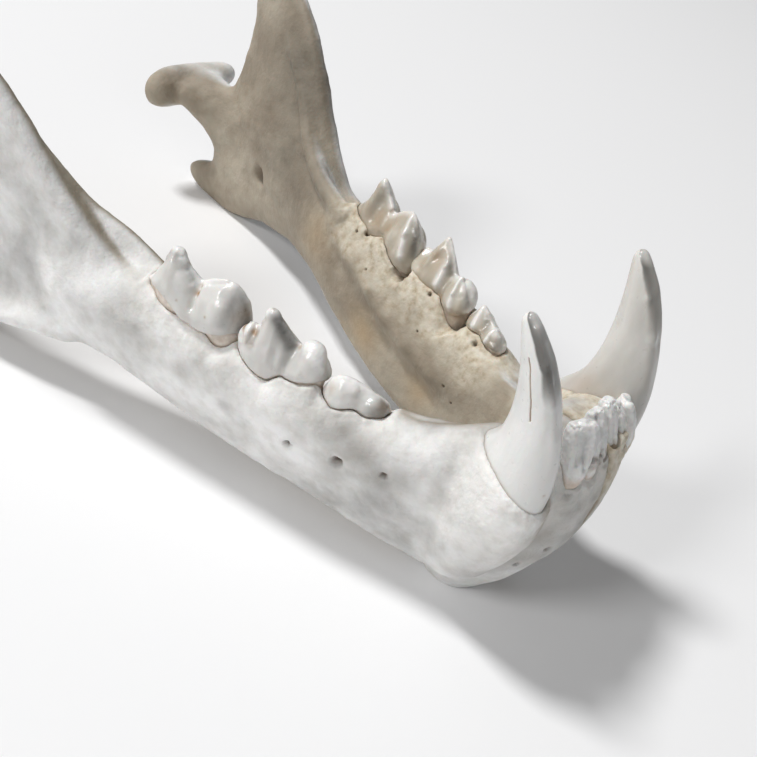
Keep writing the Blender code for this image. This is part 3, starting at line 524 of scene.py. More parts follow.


# Cheek teeth. A tooth's own frame runs s along the row from its front, t outwards, and h upwards from the
# neck. outline: s, outer t, inner t at the swelling of the crown. crest: s, t, h of the cutting edge from
# front to back. margin and rim: s and height of the enamel's and the socket's edge, outside and inside.
# knobs: middle and reach. pull: how far the front is drawn back, and where that ends. strokes: start, end,
# radius, height. stains: place, radius, strength; brown stains, some of them painted shade in hollows.
# shades: painted shade on flanks turned away from the light: start, end, radius, strength
cheekTeeth = {
    "p3": {
        "front": (16.8, 32.2), "back": (20.9, 42.8), "neck": (30.8, 30.9), "pullNear": (1.4, 200),
        "shadesNear": (((0.5, 3.6), (0.9, 0.8), 2, 0.82), ((4.8, 2.8), (4.9, 0.6), 0.9, 0.15)),
        "shadesFar": (((6.4, 4.6), (4.8, 3), 0.7, 0.45), ((1, 3), (0.4, 1.4), 0.8, 0.6)),
        "outline": (
            (-0.1, -0.9, -1.5), (0.3, 0.1, -2.2), (1, 1, -2.6), (2.5, 2, -2.9), (4.4, 2.3, -2.9),
            (6, 2.4, -2.9), (7.8, 2.8, -3), (9.4, 2.5, -2.7), (10.6, 1.7, -1.9), (11.3, 0.8, -1),
            (11.5, 0.2, -0.4)),
        "crest": (
            (-0.1, -1.2, 1.2), (0.6, -1.2, 2.4), (1.8, -1, 3.5), (3, -0.8, 4), (4, -0.6, 3.9),
            (5.6, -0.4, 4.4), (7.2, -0.4, 5.2), (8.6, -0.4, 5.5), (9.5, -0.3, 4.5), (10.2, -0.2, 3.9),
            (10.9, -0.1, 3), (11.5, -0.1, 1.2)),
        "margin": (
            ((0, 0.6), (3, 0.2), (6, 0.6), (9, -0.3), (11.5, 0.5)), ((0, 1.2), (3, 1), (5.5, 1.6),
            (8.5, 0.9), (11.5, 1.4))),
        "crestNear": (
            (-0.1, -1, 1), (0.6, -0.9, 2), (1.8, -0.7, 2.8), (3.2, -0.5, 3.4), (5, -0.3, 4.1),
            (7, -0.2, 4.7), (8.4, -0.2, 4.8), (9.6, -0.2, 4.4), (10.6, -0.1, 3.5), (11.5, -0.1, 1.2)),
        "strokesNear": (
            ((4.9, 2.6), (5, 0.4), 1.1, -0.35), ((2.6, 3.2), (7.4, 4.2), 0.7, -0.18), ((9.6, 3.4),
            (10.2, 1.2), 0.7, -0.2)),
        "strokesFar": (
            ((8.4, 5.2), (7.2, 2.2), 0.7, 0.45), ((3.1, 3.6), (2.8, 1.8), 0.5, 0.4), ((5.4, 3.6),
            (5.2, 1.8), 0.8, -0.45), ((10.2, 3.6), (10.6, 1.6), 0.8, -0.3)),
        "stainsNear": (((9.9, 2.6), 0.9, 0.25), ((0.8, 2.4), 1.4, 0.3)),
        "stainsFar": (((5.4, 2.2), 0.8, 0.3), ((9.6, 2.6), 1, 0.2)),
        "rim": (
            ((0, 0.4), (3, 0), (6, 0.4), (9, -0.5), (11.5, 0.3)), ((-3.3, 0.9), (-0.6, -0.3), (2, 0.1),
            (4.1, 0.7), (7, 0.9), (9.5, 0.2), (11.5, -1))),
        "knobs": (((8.2, 0.6, 1.6), (2.4, 2, 2.6)),),
        "knobsFar": (((2.6, -1.2, 2), (1.5, 1.2, 1.7)),),
        "knobsNear": (((2.8, 0.1, 1.5), (2.2, 1.7, 1.7)), ((7.6, 0.4, 2.6), (2.8, 1.7, 2))),
    },
    "p4": {
        "front": (20.9, 43.2), "back": (24.7, 60.4), "neck": (31, 32.4), "pullNear": (1.3, 11.5),
        "shadesNear": (
            ((11.2, 9.2), (7.6, 5.6), 1.05, 0.85), ((0, 6.4), (-0.2, 3), 1, 0.5), ((7.4, 5.2),
            (7.2, 2.6), 0.9, 0.25), ((14.2, 5.2), (14, 3), 0.6, 0.3)),
        "shadesFar": (
            ((9.4, 8.4), (7.4, 5.8), 0.75, 0.6), ((1.4, 6.2), (0.1, 3.4), 0.85, 0.6), ((6.4, 4.6),
            (6, 2), 0.8, 0.3), ((0.2, 1.2), (0.6, -2), 1, 0.5)),
        "outline": (
            (-0.1, -0.9, -1.8), (0.3, 0.3, -2.7), (1, 1.4, -3.3), (2.4, 2.6, -3.8), (4.2, 3.2, -3.8),
            (5.8, 3, -3.4), (7.4, 3, -3.2), (9.4, 3.8, -3.5), (11.6, 4.2, -3.7), (13.8, 4.1, -3.6),
            (15.6, 3.5, -3.1), (16.9, 2.4, -2.1), (17.6, 1.3, -1), (17.8, 0.6, -0.2)),
        "crest": (
            (-0.1, -1.5, 2), (0.4, -1.6, 3.6), (1.3, -1.5, 5), (2.6, -1.3, 6.2), (4.1, -1, 6.8),
            (5.3, -0.6, 6.5), (6.6, 0, 5.9), (7.8, 0.5, 6.9), (9.4, 1, 8.3), (11, 1.3, 9.7),
            (12, 1.4, 10.5), (12.5, 1.4, 10.4), (13.2, 1.3, 9), (14.2, 1.1, 7), (15.1, 1, 5.4),
            (15.7, 1, 5.2), (16.4, 0.9, 5.4), (17, 0.8, 4.4), (17.5, 0.6, 2.8), (17.8, 0.4, 1.4)),
        "margin": (
            ((0, 2), (1, 1.8), (5.6, 0.4), (7.8, 0.4), (10.1, -1.2), (12.5, -0.9), (15, -0.2),
            (17.8, 0.8)), ((0, 1.8), (2.5, 0.6), (5, 0.8), (8.2, 1.5), (11, 0.6), (14, 0.6), (17.8, 1.4))),
        "rim": (
            ((0, 1.6), (1, 1.3), (3.4, 0.2), (5.6, 0), (7.8, 0.2), (10.1, -1.7), (12.5, -1.7), (15, -1),
            (17.8, 0.2)), ((-1, -2.4), (0.5, -2.8), (2.4, -2.6), (4, -0.7), (6.2, 1.4), (7.4, 1.4),
            (9.2, 2), (11.1, 2.5), (13.4, 3.2), (16, 3), (17.8, 2.2))),
        "knobs": (
            ((3.4, 0.2, 3), (3, 2.5, 3.6)), ((12, 1.9, 2.4), (3.6, 2.2, 3.8)), ((15.6, 1.2, 2.6),
            (1.9, 2, 2.7))),
        "knobsNear": (
            ((3.6, -0.4, 5.2), (2.5, 2, 2.3)), ((12.1, 1.4, 8.9), (1.5, 1.1, 1.5)), ((15.6, 1.5, 3.9),
            (1.5, 1.6, 1.5))),
        "knobsFar": (((12, 1.1, 7.6), (1.3, 1.2, 2.3)),),
        "strokesNear": (
            ((6.9, 5.8), (7.4, 1.6), 0.9, -0.45), ((14.2, 6.2), (14, 3.4), 0.6, -0.5), ((16.7, 5),
            (16.4, 3), 0.45, -0.35), ((15.5, 5.4), (15.2, 2.8), 0.5, 0.3), ((11, 8),
            (10.6, 2), 0.5, 0.12), ((9.6, 7.4), (9.2, 2), 0.6, -0.16)),
        "strokesFar": (
            ((9.8, 8.6), (8.9, 6.5), 0.7, 0.35), ((8.9, 6.5), (8, 3), 0.8, 0.4), ((12, 10.2),
            (9.6, 7.4), 0.5, 0.3), ((6.9, 5.2), (6.4, 2), 0.9, -0.5), ((11.2, 6.6),
            (12.4, 3.4), 1.3, -0.5), ((14.4, 5.6), (14.2, 3.2), 0.7, -0.45), ((4.2, 6.8),
            (3.4, 4.2), 0.45, 0.5), ((3.4, 4.2), (2.8, 1.8), 0.6, 0.35)),
        "stainsNear": (
            ((16.9, 4.5), 0.5, 0.9), ((14.6, 5), 0.5, 0.9), ((14.7, 3.2), 0.9, 0.25),
            ((6.3, 5.7), 0.35, 0.7), ((12.4, 10.5), 0.3, 0.5)),
        # In the basin below the main cusp and at the open socket at the front these are painted shade; the
        # others are brown stains
        "stainsFar": (
            ((10.4, 6), 1.5, 0.3), ((14, 4), 1.4, 0.35), ((6, 1.5), 1, 0.4), ((11.6, 6.8), 1.2, 0.5),
            ((1.6, 0.2), 1.6, 0.45), ((10.2, 7.4), 0.5, 0.35)),
    },
    "m1": {
        "front": (24.3, 59.4), "back": (28.7, 79.3), "neck": (32.5, 33.6), "pullNear": (1, 7),
        "shadesNear": (
            ((0.3, 8), (-0.2, 3), 2.2, 0.8), ((3, 6.8), (3, 3.6), 1.5, 0.42), ((2.4, 2),
            (4, 1.2), 1, 0.2), ((15.2, 9.6), (11.4, 7.2), 0.7, 0.3), ((17.2, 8.2), (16.6, 9.6), 0.6, 0.35)),
        "shadesFar": (
            ((2.4, 8.6), (0, 3.6), 1.05, 0.75), ((14.8, 9), (13.6, 6.4), 1.6, 0.25), ((17.2, 7.4),
            (17.8, 4.4), 0.9, 0.3)),
        "outline": (
            (-0.2, -1, -2), (0.2, 0.4, -3), (1, 1.8, -3.7), (2.6, 3.1, -4.2), (5.4, 4, -4.2),
            (8.6, 4.3, -3.8), (11.6, 4.3, -3.5), (14.8, 4.1, -3.6), (17.4, 3.4, -3.2), (19.2, 2.2, -2.2),
            (20.2, 1, -1), (20.4, 0.4, -0.4)),
        "crest": (
            (-0.2, -1.6, 3), (0.3, -1.6, 5.2), (1.1, -1.4, 7), (2.4, -1, 8.4), (3.8, -0.5, 9.5),
            (5.6, 0, 9.9), (7, 0.1, 9.3), (8.6, 0, 8.3), (10.2, -0.1, 6.9), (10.9, -0.1, 7.1),
            (12.2, 0.1, 8.2), (13.7, 0.2, 9.4), (14.7, 0.2, 10.7), (15.3, 0.2, 11.3), (15.9, 0.2, 11.4),
            (16.5, 0.2, 10.6), (17.2, 0.2, 8.4), (18.2, 0.1, 6), (19.2, 0, 4.4), (20, 0, 3.2),
            (20.4, 0, 1.8)),
        "margin": (
            ((0, 2), (2, 1.5), (4.5, 0.7), (8.9, 0), (11.5, 0.7), (14.4, 2.6), (17, 3.2), (20.4, 2.6)),
            ((0, -0.4), (3.3, -0.2), (4.6, 0.4), (6.6, 1.7), (9.3, 1.9), (13, 0.4), (17.2, 2.4),
            (20.4, 2.2))),
        "rim": (
            ((0, 0.1), (2, -1.3), (4.5, -2), (8.9, -1.7), (11.5, -1.1), (14.4, 0.3), (17, 1.5),
            (20.4, 1.8)), ((-1.4, 0.1), (0.2, -1.7), (2, -1.4), (3.3, -0.2), (4.1, 0.1), (6.6, 1.6),
            (9.3, 1.7), (12.4, 0.8), (16.2, 3), (20.4, 3))),
        "knobs": (
            ((5.2, 1.1, 2.8), (3.9, 2.9, 4.6)), ((14.2, 0.9, 3), (4.4, 3, 5.2)), ((18, 0, 1.6),
            (2, 2.3, 2.8))),
        "knobsNear": (((15.6, 0.2, 9.1), (1.55, 1.25, 1.6)), ((15.2, 0.5, 7.4), (2.4, 1.7, 2.5))),
        "crestNear": (
            (-0.2, -1.6, 3), (0.3, -1.6, 5.2), (1.1, -1.4, 7), (2.4, -1, 8.4), (3.8, -0.5, 9.4),
            (5.6, 0, 9.7), (7, 0.1, 9.2), (8.6, 0, 8.3), (10.2, -0.1, 6.9), (10.9, -0.1, 7),
            (12.2, 0.1, 7.9), (13.7, 0.2, 9), (14.7, 0.2, 10.1), (15.3, 0.2, 10.6), (15.9, 0.2, 10.7),
            (16.5, 0.2, 10), (17.2, 0.2, 8.2), (18.2, 0.1, 6), (19.2, 0, 4.4), (20, 0, 3.2),
            (20.4, 0, 1.8)),
        "knobsFar": (((12.6, -2.5, 2.2), (2.6, 1.2, 1.6)), ((15.6, 0.1, 8.6), (1.5, 1.3, 2.4))),
        "strokesNear": (
            ((10.2, 6.6), (9.8, 3.4), 0.55, -0.55), ((9.8, 3.6), (9.2, 0), 1.3, -0.35), ((9.4, 7.2),
            (5.8, 9), 0.45, -0.2), ((3.6, 8.6), (2.6, 3), 1, 0.18), ((14.9, 9.4),
            (11.4, 6.9), 0.6, -0.25), ((8.2, 8), (5, 9.4), 0.6, -0.3), ((19.6, 4.6),
            (18.9, 2), 0.6, -0.25)),
        "strokesFar": (
            ((4.8, 9.6), (3.5, 6.4), 0.6, 0.5), ((3.5, 6.4), (2, 2.4), 0.75, 0.5), ((0.6, 6),
            (0.2, 2), 0.8, -0.3), ((5.6, 6.4), (4.6, 2.8), 1, -0.35), ((15.5, 11),
            (11.2, 7.2), 0.5, 0.35), ((8.6, 5.8), (9.2, 2.6), 1.5, -0.9), ((13.6, 7),
            (13.4, 4), 1.6, -0.7), ((17.2, 8), (17.8, 4), 1, -0.3)),
        "stainsNear": (
            ((10, 5.6), 0.42, 1), ((10.1, 6.5), 0.3, 0.6), ((6.6, 3.4), 0.22, 0.7),
            ((12.4, 3.6), 0.2, 0.6), ((19.4, 4.6), 0.6, 0.25), ((0.2, 5.4), 1.8, 0.3)),
        "stainsFar": (
            ((12.6, 4.6), 2.2, 0.4), ((9, 4.4), 1.4, 0.5), ((11, 6.8), 0.5, 0.4), ((5.2, 1.4), 0.9, 0.3)),
    },
}
crown = {
    "voxel": 0.2, "softenSteps": 6, "swellShare": 0.42, "edgeHalf": 0.24,
    "levels": (0.0, 0.12, 0.26, 0.4, 0.54, 0.67, 0.79, 0.89, 0.96),
    # each root: where along the tooth, half its length, its share of the width
    "roots": ((0.23, 0.22, 0.84), (0.73, 0.24, 0.84)),
    "rootDepth": 5.0, "enamelStep": 0.16, "wornReach": 1.3,
    # strokes raised more than the first value below get a painted highlight; waves and grain are heights of
    # the surface
    "highlightFrom": 0.32, "waves": 0.05, "grain": 0.015, "wornGrain": 0.045,
}


def toothFrame(tooth, side):
    start = Vector((*tooth["front"], tooth["neck"][0]))
    end = Vector((*tooth["back"], tooth["neck"][1]))
    level = Vector((end.x - start.x, end.y - start.y, 0))
    length = level.length
    along = level.normalized()
    across = Vector((along.y, -along.x, 0))
    rise = (end.z - start.z) / length
    # The front of a tooth can be drawn backwards by pull, which fades out at reach
    pull, reach = tooth.get("pull" + side, (0.0, 1.0))

    def place(s, t, h):
        drawn = s + pull * (1 - s / reach) if s < reach else s
        return start + along * drawn + across * t + Vector((0, 0, h + rise * drawn))

    def measure(points):
        offset = points - np.array(start[:])
        drawn = offset @ np.array(along[:])
        s = np.where(drawn < reach, (drawn - pull) / (1 - pull / reach), drawn)
        return s, offset @ np.array(across[:]), offset[:, 2] - rise * drawn
    return place, measure, length


def column(rows, value, index):
    table = np.array(rows)
    return np.interp(value, table[:, 0], table[:, index])


def bladeRings(place, tooth, crest):
    outline = tooth["outline"]
    rings = []
    for s in np.arange(outline[0][0], outline[-1][0] + 0.01, (outline[-1][0] - outline[0][0]) / 64):
        edgeT, edgeH = column(crest, s, 1), column(crest, s, 2)
        sides = []
        for index, curve, keen in ((1, 1.5, 0.8), (2, 1.35, 0.85)):
            widest, low = column(outline, s, index), column(tooth["margin"][index - 1], s, 1)
            swell = low + (edgeH - low) * crown["swellShare"] * 0.5
            middle = (edgeT + widest) / 2
            side = [(middle, low - 0.7), (edgeT + (widest - edgeT) * 0.86, low - 0.5),
                    (edgeT + (widest - edgeT) * 0.96, low + 0.1)]
            for u in crown["levels"]:
                reach = (1 - u ** curve) ** keen
                spread = (widest - edgeT) * reach
                if abs(spread) < crown["edgeHalf"]:
                    spread = math.copysign(crown["edgeHalf"], widest - edgeT)
                side.append((edgeT + spread, swell + (edgeH - swell) * u))
            sides.append(side)
        loop = sides[0] + [(edgeT, edgeH)] + sides[1][::-1]
        rings.append([place(s, t, h) for t, h in loop])
    return rings


def knob(name, place, middle, reach):
    bpy.ops.object.select_all(action="DESELECT")
    bpy.ops.mesh.primitive_uv_sphere_add(segments=32, ring_count=20, radius=1.0)
    item = bpy.context.view_layer.objects.active
    item.name = name
    points = getPoints(item) * reach + middle
    setPoints(item, np.array([place(*point)[:] for point in points]))
    return item


def rootRings(place, length, outline, share, halfShare, width, count):
    s = share * length
    outer, inner = column(outline, s, 1), column(outline, s, 2)
    middle, half = (outer + inner) / 2, (outer - inner) / 2 * width
    rings = []
    for h, size in ((-crown["rootDepth"], 0.7), (-3.0, 0.86), (-1.0, 0.96), (0.6, 1.0), (2.0, 0.9)):
        ring = []
        for angle in (2 * math.pi * i / count for i in range(count)):
            along, across = length * halfShare * size * math.cos(angle), half * size * math.sin(angle)
            ring.append(place(s + along, middle + across, h))
        rings.append(ring)
    return rings


def buildTooth(name, tooth, side, seed):
    place, measure, length = toothFrame(tooth, side)
    pieces = [loft(name, bladeRings(place, tooth, tooth.get("crest" + side, tooth["crest"])))]
    pieces += [knob("knob", place, *spot) for spot in tooth["knobs"] + tooth.get("knobs" + side, ())]
    pieces += [loft("root", rootRings(place, length, tooth["outline"], *root, 28)) for root in crown["roots"]]
    item = fuse(name, pieces)
    useModifier(item, "REMESH", mode="VOXEL", voxel_size=crown["voxel"])
    useModifier(item, "SMOOTH", factor=0.5, iterations=crown["softenSteps"])
    item = keepLargest(item)
    points, normals = getPoints(item), getNormals(item)
    s, t, h = measure(points)
    local = np.stack([s, h], axis=1)
    middle = (column(tooth["outline"], s, 1) + column(tooth["outline"], s, 2)) / 2
    outside = smoothStep(-0.8, 0.8, t - middle)
    margin = outside * column(tooth["margin"][0], s, 1) + (1 - outside) * column(tooth["margin"][1], s, 1)
    margin += layeredNoise(points, 1.2, seed) * 0.1
    root = 1 - smoothStep(-0.12, 0.12, h - margin)
    push = crown["enamelStep"] * (0.5 - root)
    seen = outside if side == "Near" else 1 - outside
    crestLevel = column(tooth.get("crest" + side, tooth["crest"]), s, 2)
    # Pale near the crest: partly wear of the crest, partly painted highlight
    worn = np.clip(1 - (crestLevel - h) / crown["wornReach"], 0, 1)
    for start, end, radius, depth in tooth.get("strokes" + side, ()):
        share = seen * strokeShare(local, start, end, radius)
        push += depth * share
        # Raised ridges get a painted highlight
        if depth > crown["highlightFrom"]:
            worn = np.maximum(worn, share)
    push += layeredNoise(points, 2.6, seed) * crown["waves"]
    push += layeredNoise(points, 0.7, seed + 3) * (crown["grain"] + crown["wornGrain"] * worn)
    setPoints(item, points + normals * push[:, None])
    ragged = 1 + layeredNoise(points, 0.8, seed + 5) * 0.25
    # Brown stains, some of them painted shade in hollows
    stain = seen * spotMask(local, tooth.get("stains" + side, ()), ragged)
    # Painted shade on the flanks turned away from the light
    dusk = seen * spotMask(local, tooth.get("shades" + side, ()))
    setMask(item, "root", root)
    setMask(item, "stain", stain)
    setMask(item, "worn", worn * (1 - dusk))
    setMask(item, "dusk", dusk * (1 + 0.12 * layeredNoise(points, 0.9, seed + 6)))
    return item


print("cheek teeth: blades, swellings and roots")
leftTeeth = [buildTooth(key + "Left", cheekTeeth[key], "Far", 3 + i) for i, key in enumerate(cheekTeeth)]
rightTeeth = [buildTooth(key + "Right", cheekTeeth[key], "Near", 13 + i) for i, key in enumerate(cheekTeeth)]


# Incisors
incisors = {
    # x, y, neck level, crown height, width, depth, lean outwards, slope backwards, turn
    "left": (
        (1.9, 4.6, 36.8, 8.2, 3.1, 4.6, 0, 0.28, 0), (5.1, 4.4, 35.9, 7.1, 3.2, 4.8, 3, 0.26, 14),
        (9.7, 4.6, 33.8, 8, 4.6, 5, 5, 0.19, 30)),
    "right": (
        (1.9, 4.4, 36.4, 8.6, 3.3, 4.6, 4, 0.28, 6), (5.2, 4, 35.6, 8.3, 3.2, 4.6, 0, 0.2, 12),
        (8.3, 4.7, 36.3, 9.2, 4.9, 5, 1, 0.14, 32)),
    # height, width, depth, backwards
    "profile": (
        (-0.72, 0.44, 0.62, 1.8), (-0.3, 0.66, 0.84, 0.6), (0, 0.82, 0.94, 0), (0.3, 0.93, 0.94, -0.1),
        (0.62, 1, 0.8, 0), (0.85, 1, 0.6, 0), (0.95, 0.94, 0.48, 0), (1, 0.76, 0.34, 0)),
    "voxel": 0.17, "squareness": 3,
    "marks": {"worn": 0.75, "stain": 0.12, "facet": 0.3, "clouds": 0.1, "chalk": 0.7},
    # lines along the crown, as shares: across, depth, height, then radius and depth of the stroke
    "strokes": (
        ((-0.4, -1, 0.98), (-0.3, -1, 0.2), 0.38, -0.4), ((0.4, -1, 0.98), (0.36, -1, 0.3), 0.36, -0.36),
        ((0.9, -0.9, 0.95), (0.85, -0.8, 0.1), 0.35, 0.3), ((0.05, -1, 0.8), (0, -1, 0.1), 0.45, 0.2),
        ((-0.95, -0.7, 0.95), (-0.9, -0.7, 0.2), 0.35, 0.22), ((0, 1, 0.8), (0, 1, 0.4), 0.9, -0.5)),
    "facets": {"i3Right": ((-0.15, -1, 0.82), (-0.1, -1, 0.45), 1.3, -0.8), "i3Left": ((0.1, -0.6, 1),
    (0.1, -0.4, 1), 1.2, -0.9), "i1Right": ((0.3, -0.7, 1), (0.5, -0.5, 0.9), 0.8, -0.5),
    "i2Left": ((-0.2, -0.7, 1), (0.2, -0.5, 0.95), 0.9, -0.6)},
}


def incisorFrame(x, y, neck, height, width, depth, lean, slope, turn):
    tip, twist = math.radians(lean), math.radians(turn)
    upward = Vector((math.sin(tip), slope, math.cos(tip))).normalized()
    across = Vector((math.cos(twist), math.sin(twist), 0))
    across = (across - upward * across.dot(upward)).normalized()
    along = upward.cross(across).normalized()

    def place(wide, deep, rise, back=0.0):
        middle = Vector((x, y + back, neck)) + upward * (height * rise)
        return middle + across * (width / 2 * wide) + along * (depth / 2 * deep)
    return place, across, along


def incisorRings(row, count):
    place, across, along = incisorFrame(*row)
    width, depth = row[4:6]
    rings = []
    for rise, wide, deep, back in smoothRows(incisors["profile"], 3):
        sizes = width / 2 * wide, depth / 2 * deep, incisors["squareness"]
        rings.append(oval(count, place(0, 0, rise, back), across, along, *sizes))
    return rings


def buildIncisor(name, row, seed):
    item = loft(name, incisorRings(row, 28))
    useModifier(item, "REMESH", mode="VOXEL", voxel_size=incisors["voxel"])
    useModifier(item, "SMOOTH", factor=0.5, iterations=3)
    item = keepLargest(item)
    place = incisorFrame(*row)[0]
    points, normals = getPoints(item), getNormals(item)
    low, high = place(0, 0, 0)[2], place(0, 0, 1)[2]
    rise = (points[:, 2] - low) / (high - low)
    push = layeredNoise(points * (1.0, 1.0, 0.35), 1.5, seed) * 0.1
    push += layeredNoise(points, 0.6, seed + 4) * 0.05
    push -= 0.35 * smoothStep(0.75, 1.0, rise) * smoothStep(-0.1, 0.6, layeredNoise(points, 1.3, seed + 2))
    strokes = incisors["strokes"]
    addStrokes(push, points, [(place(*start), place(*end), *size) for start, end, *size in strokes])
    facet = np.zeros(len(points))
    if name in incisors["facets"]:
        start, end, radius, depth = incisors["facets"][name]
        facet = strokeShare(points, place(*start), place(*end), radius)
        push += depth * facet
    setPoints(item, points + normals * push[:, None])
    setMask(item, "root", 1 - smoothStep(-0.12, 0.1, rise))
    marks = incisors["marks"]
    clouds = smoothStep(0.1, 0.7, layeredNoise(points, 0.8, seed + 8))
    setMask(item, "worn", marks["worn"] + (1 - marks["worn"]) * smoothStep(0.8, 1.0, rise))
    setMask(item, "stain", smoothStep(0.3, -0.1, rise) * marks["stain"])
    # Darker in the pressed-in facet, painted shade, and in faint clouds of the tooth's own tone
    setMask(item, "dusk", facet * marks["facet"] + marks["clouds"] * clouds)
    setMask(item, "chalk", np.full(len(points), marks["chalk"]))
    return item


print("incisors")
for i in range(3):
    leftTeeth.append(buildIncisor(f"i{i + 1}Left", incisors["left"][i], 5 + i))
    rightTeeth.append(buildIncisor(f"i{i + 1}Right", incisors["right"][i], 25 + i))


# Canines
def paintedFrontShade(points, side):
    # How strongly the painted shade and dark reflection of the front band covers each point
    rows, shadeBands = np.array(canine["axis"]), np.array(canine["shadeBands"][side])
    x, y, z, deep, wide, tilt, turn = (np.interp(points[:, 2], rows[:, 2], part) for part in rows.T)
    tip, twist = np.radians(tilt), np.radians(turn)
    offsetX, offsetY = points[:, 0] - x, points[:, 1] - y
    across = (offsetX * np.cos(twist) + offsetY * np.sin(twist) / np.cos(tip)) / wide
    along = (offsetY * np.cos(twist) / np.cos(tip) - offsetX * np.sin(twist)) / deep
    angle = np.degrees(np.arctan2(along, across)) % 360
    edges = canine["shadeBandEdges"]
    edge = np.interp(points[:, 2], shadeBands[:, 0], shadeBands[:, 1]) + layeredNoise(points, 2.4, 5) * edges["waver"]
    strength = np.interp(points[:, 2], shadeBands[:, 0], shadeBands[:, 2])
    inside = edge - angle if side == "right" else angle - edge
    strength = strength * (1 - edges["paler"] * smoothStep(*edges["fade"], inside))
    return strength * smoothStep(*edges["start"], inside) * smoothStep(*edges["end"], inside)


def buildCanine(name, side, seed):
    item = loft(name, canineRings())
    useModifier(item, "SMOOTH", factor=0.5, iterations=2)
    crack = canine["cracks"][side]
    segments = list(zip(crack["line"], crack["line"][1:]))
    for fineness in (1.6, 0.7, 0.3):
        near = spotMask(getCentres(item), [(*segment, fineness, 1.0) for segment in segments]) > 0.3
        subdivideNear(item, near)
    points, normals = getPoints(item), getNormals(item)
    shaken = points + np.stack([layeredNoise(points, 2.0, seed + k) * 0.07 for k in range(3)], axis=1)
    line = spotMask(shaken, [(*segment, crack["width"], 1.0) for segment in segments])
    push = layeredNoise(points * (1.0, 1.0, 0.3), 3.0, seed) * 0.05 - crack["depth"] * line
    addStrokes(push, points, [(spot, spot, radius, -depth) for spot, radius, depth in crack["nicks"]])
    addStrokes(push, points, canine["strokes"][side])
    setPoints(item, points + normals * push[:, None])
    marks = [(spot, radius, 0.5) for spot, radius, depth in crack["nicks"]] + list(crack["tints"])
    setMask(item, "stain", np.maximum(line * crack["stain"], spotMask(points, marks)))
    # Painted shade and dark reflection down the front of the canine
    paintedLightBand = paintedFrontShade(points, side)
    setMask(item, "dusk", paintedLightBand)
    low, high, most = canine["tipWear"]
    # Pale wear of the tip, and the brightening of the whole tooth, partly painted light on the right canine
    worn = most * smoothStep(low, high, points[:, 2]) + canine["paintedLightAndWear"][side]
    setMask(item, "worn", np.clip(worn, 0, 1) * (1 - paintedLightBand))
    setMask(item, "root", np.zeros(len(points)))
    return item


print("canines")
canineLeft = buildCanine("canineToothLeft", "left", 31)
canineRight = buildCanine("canineToothRight", "right", 52)


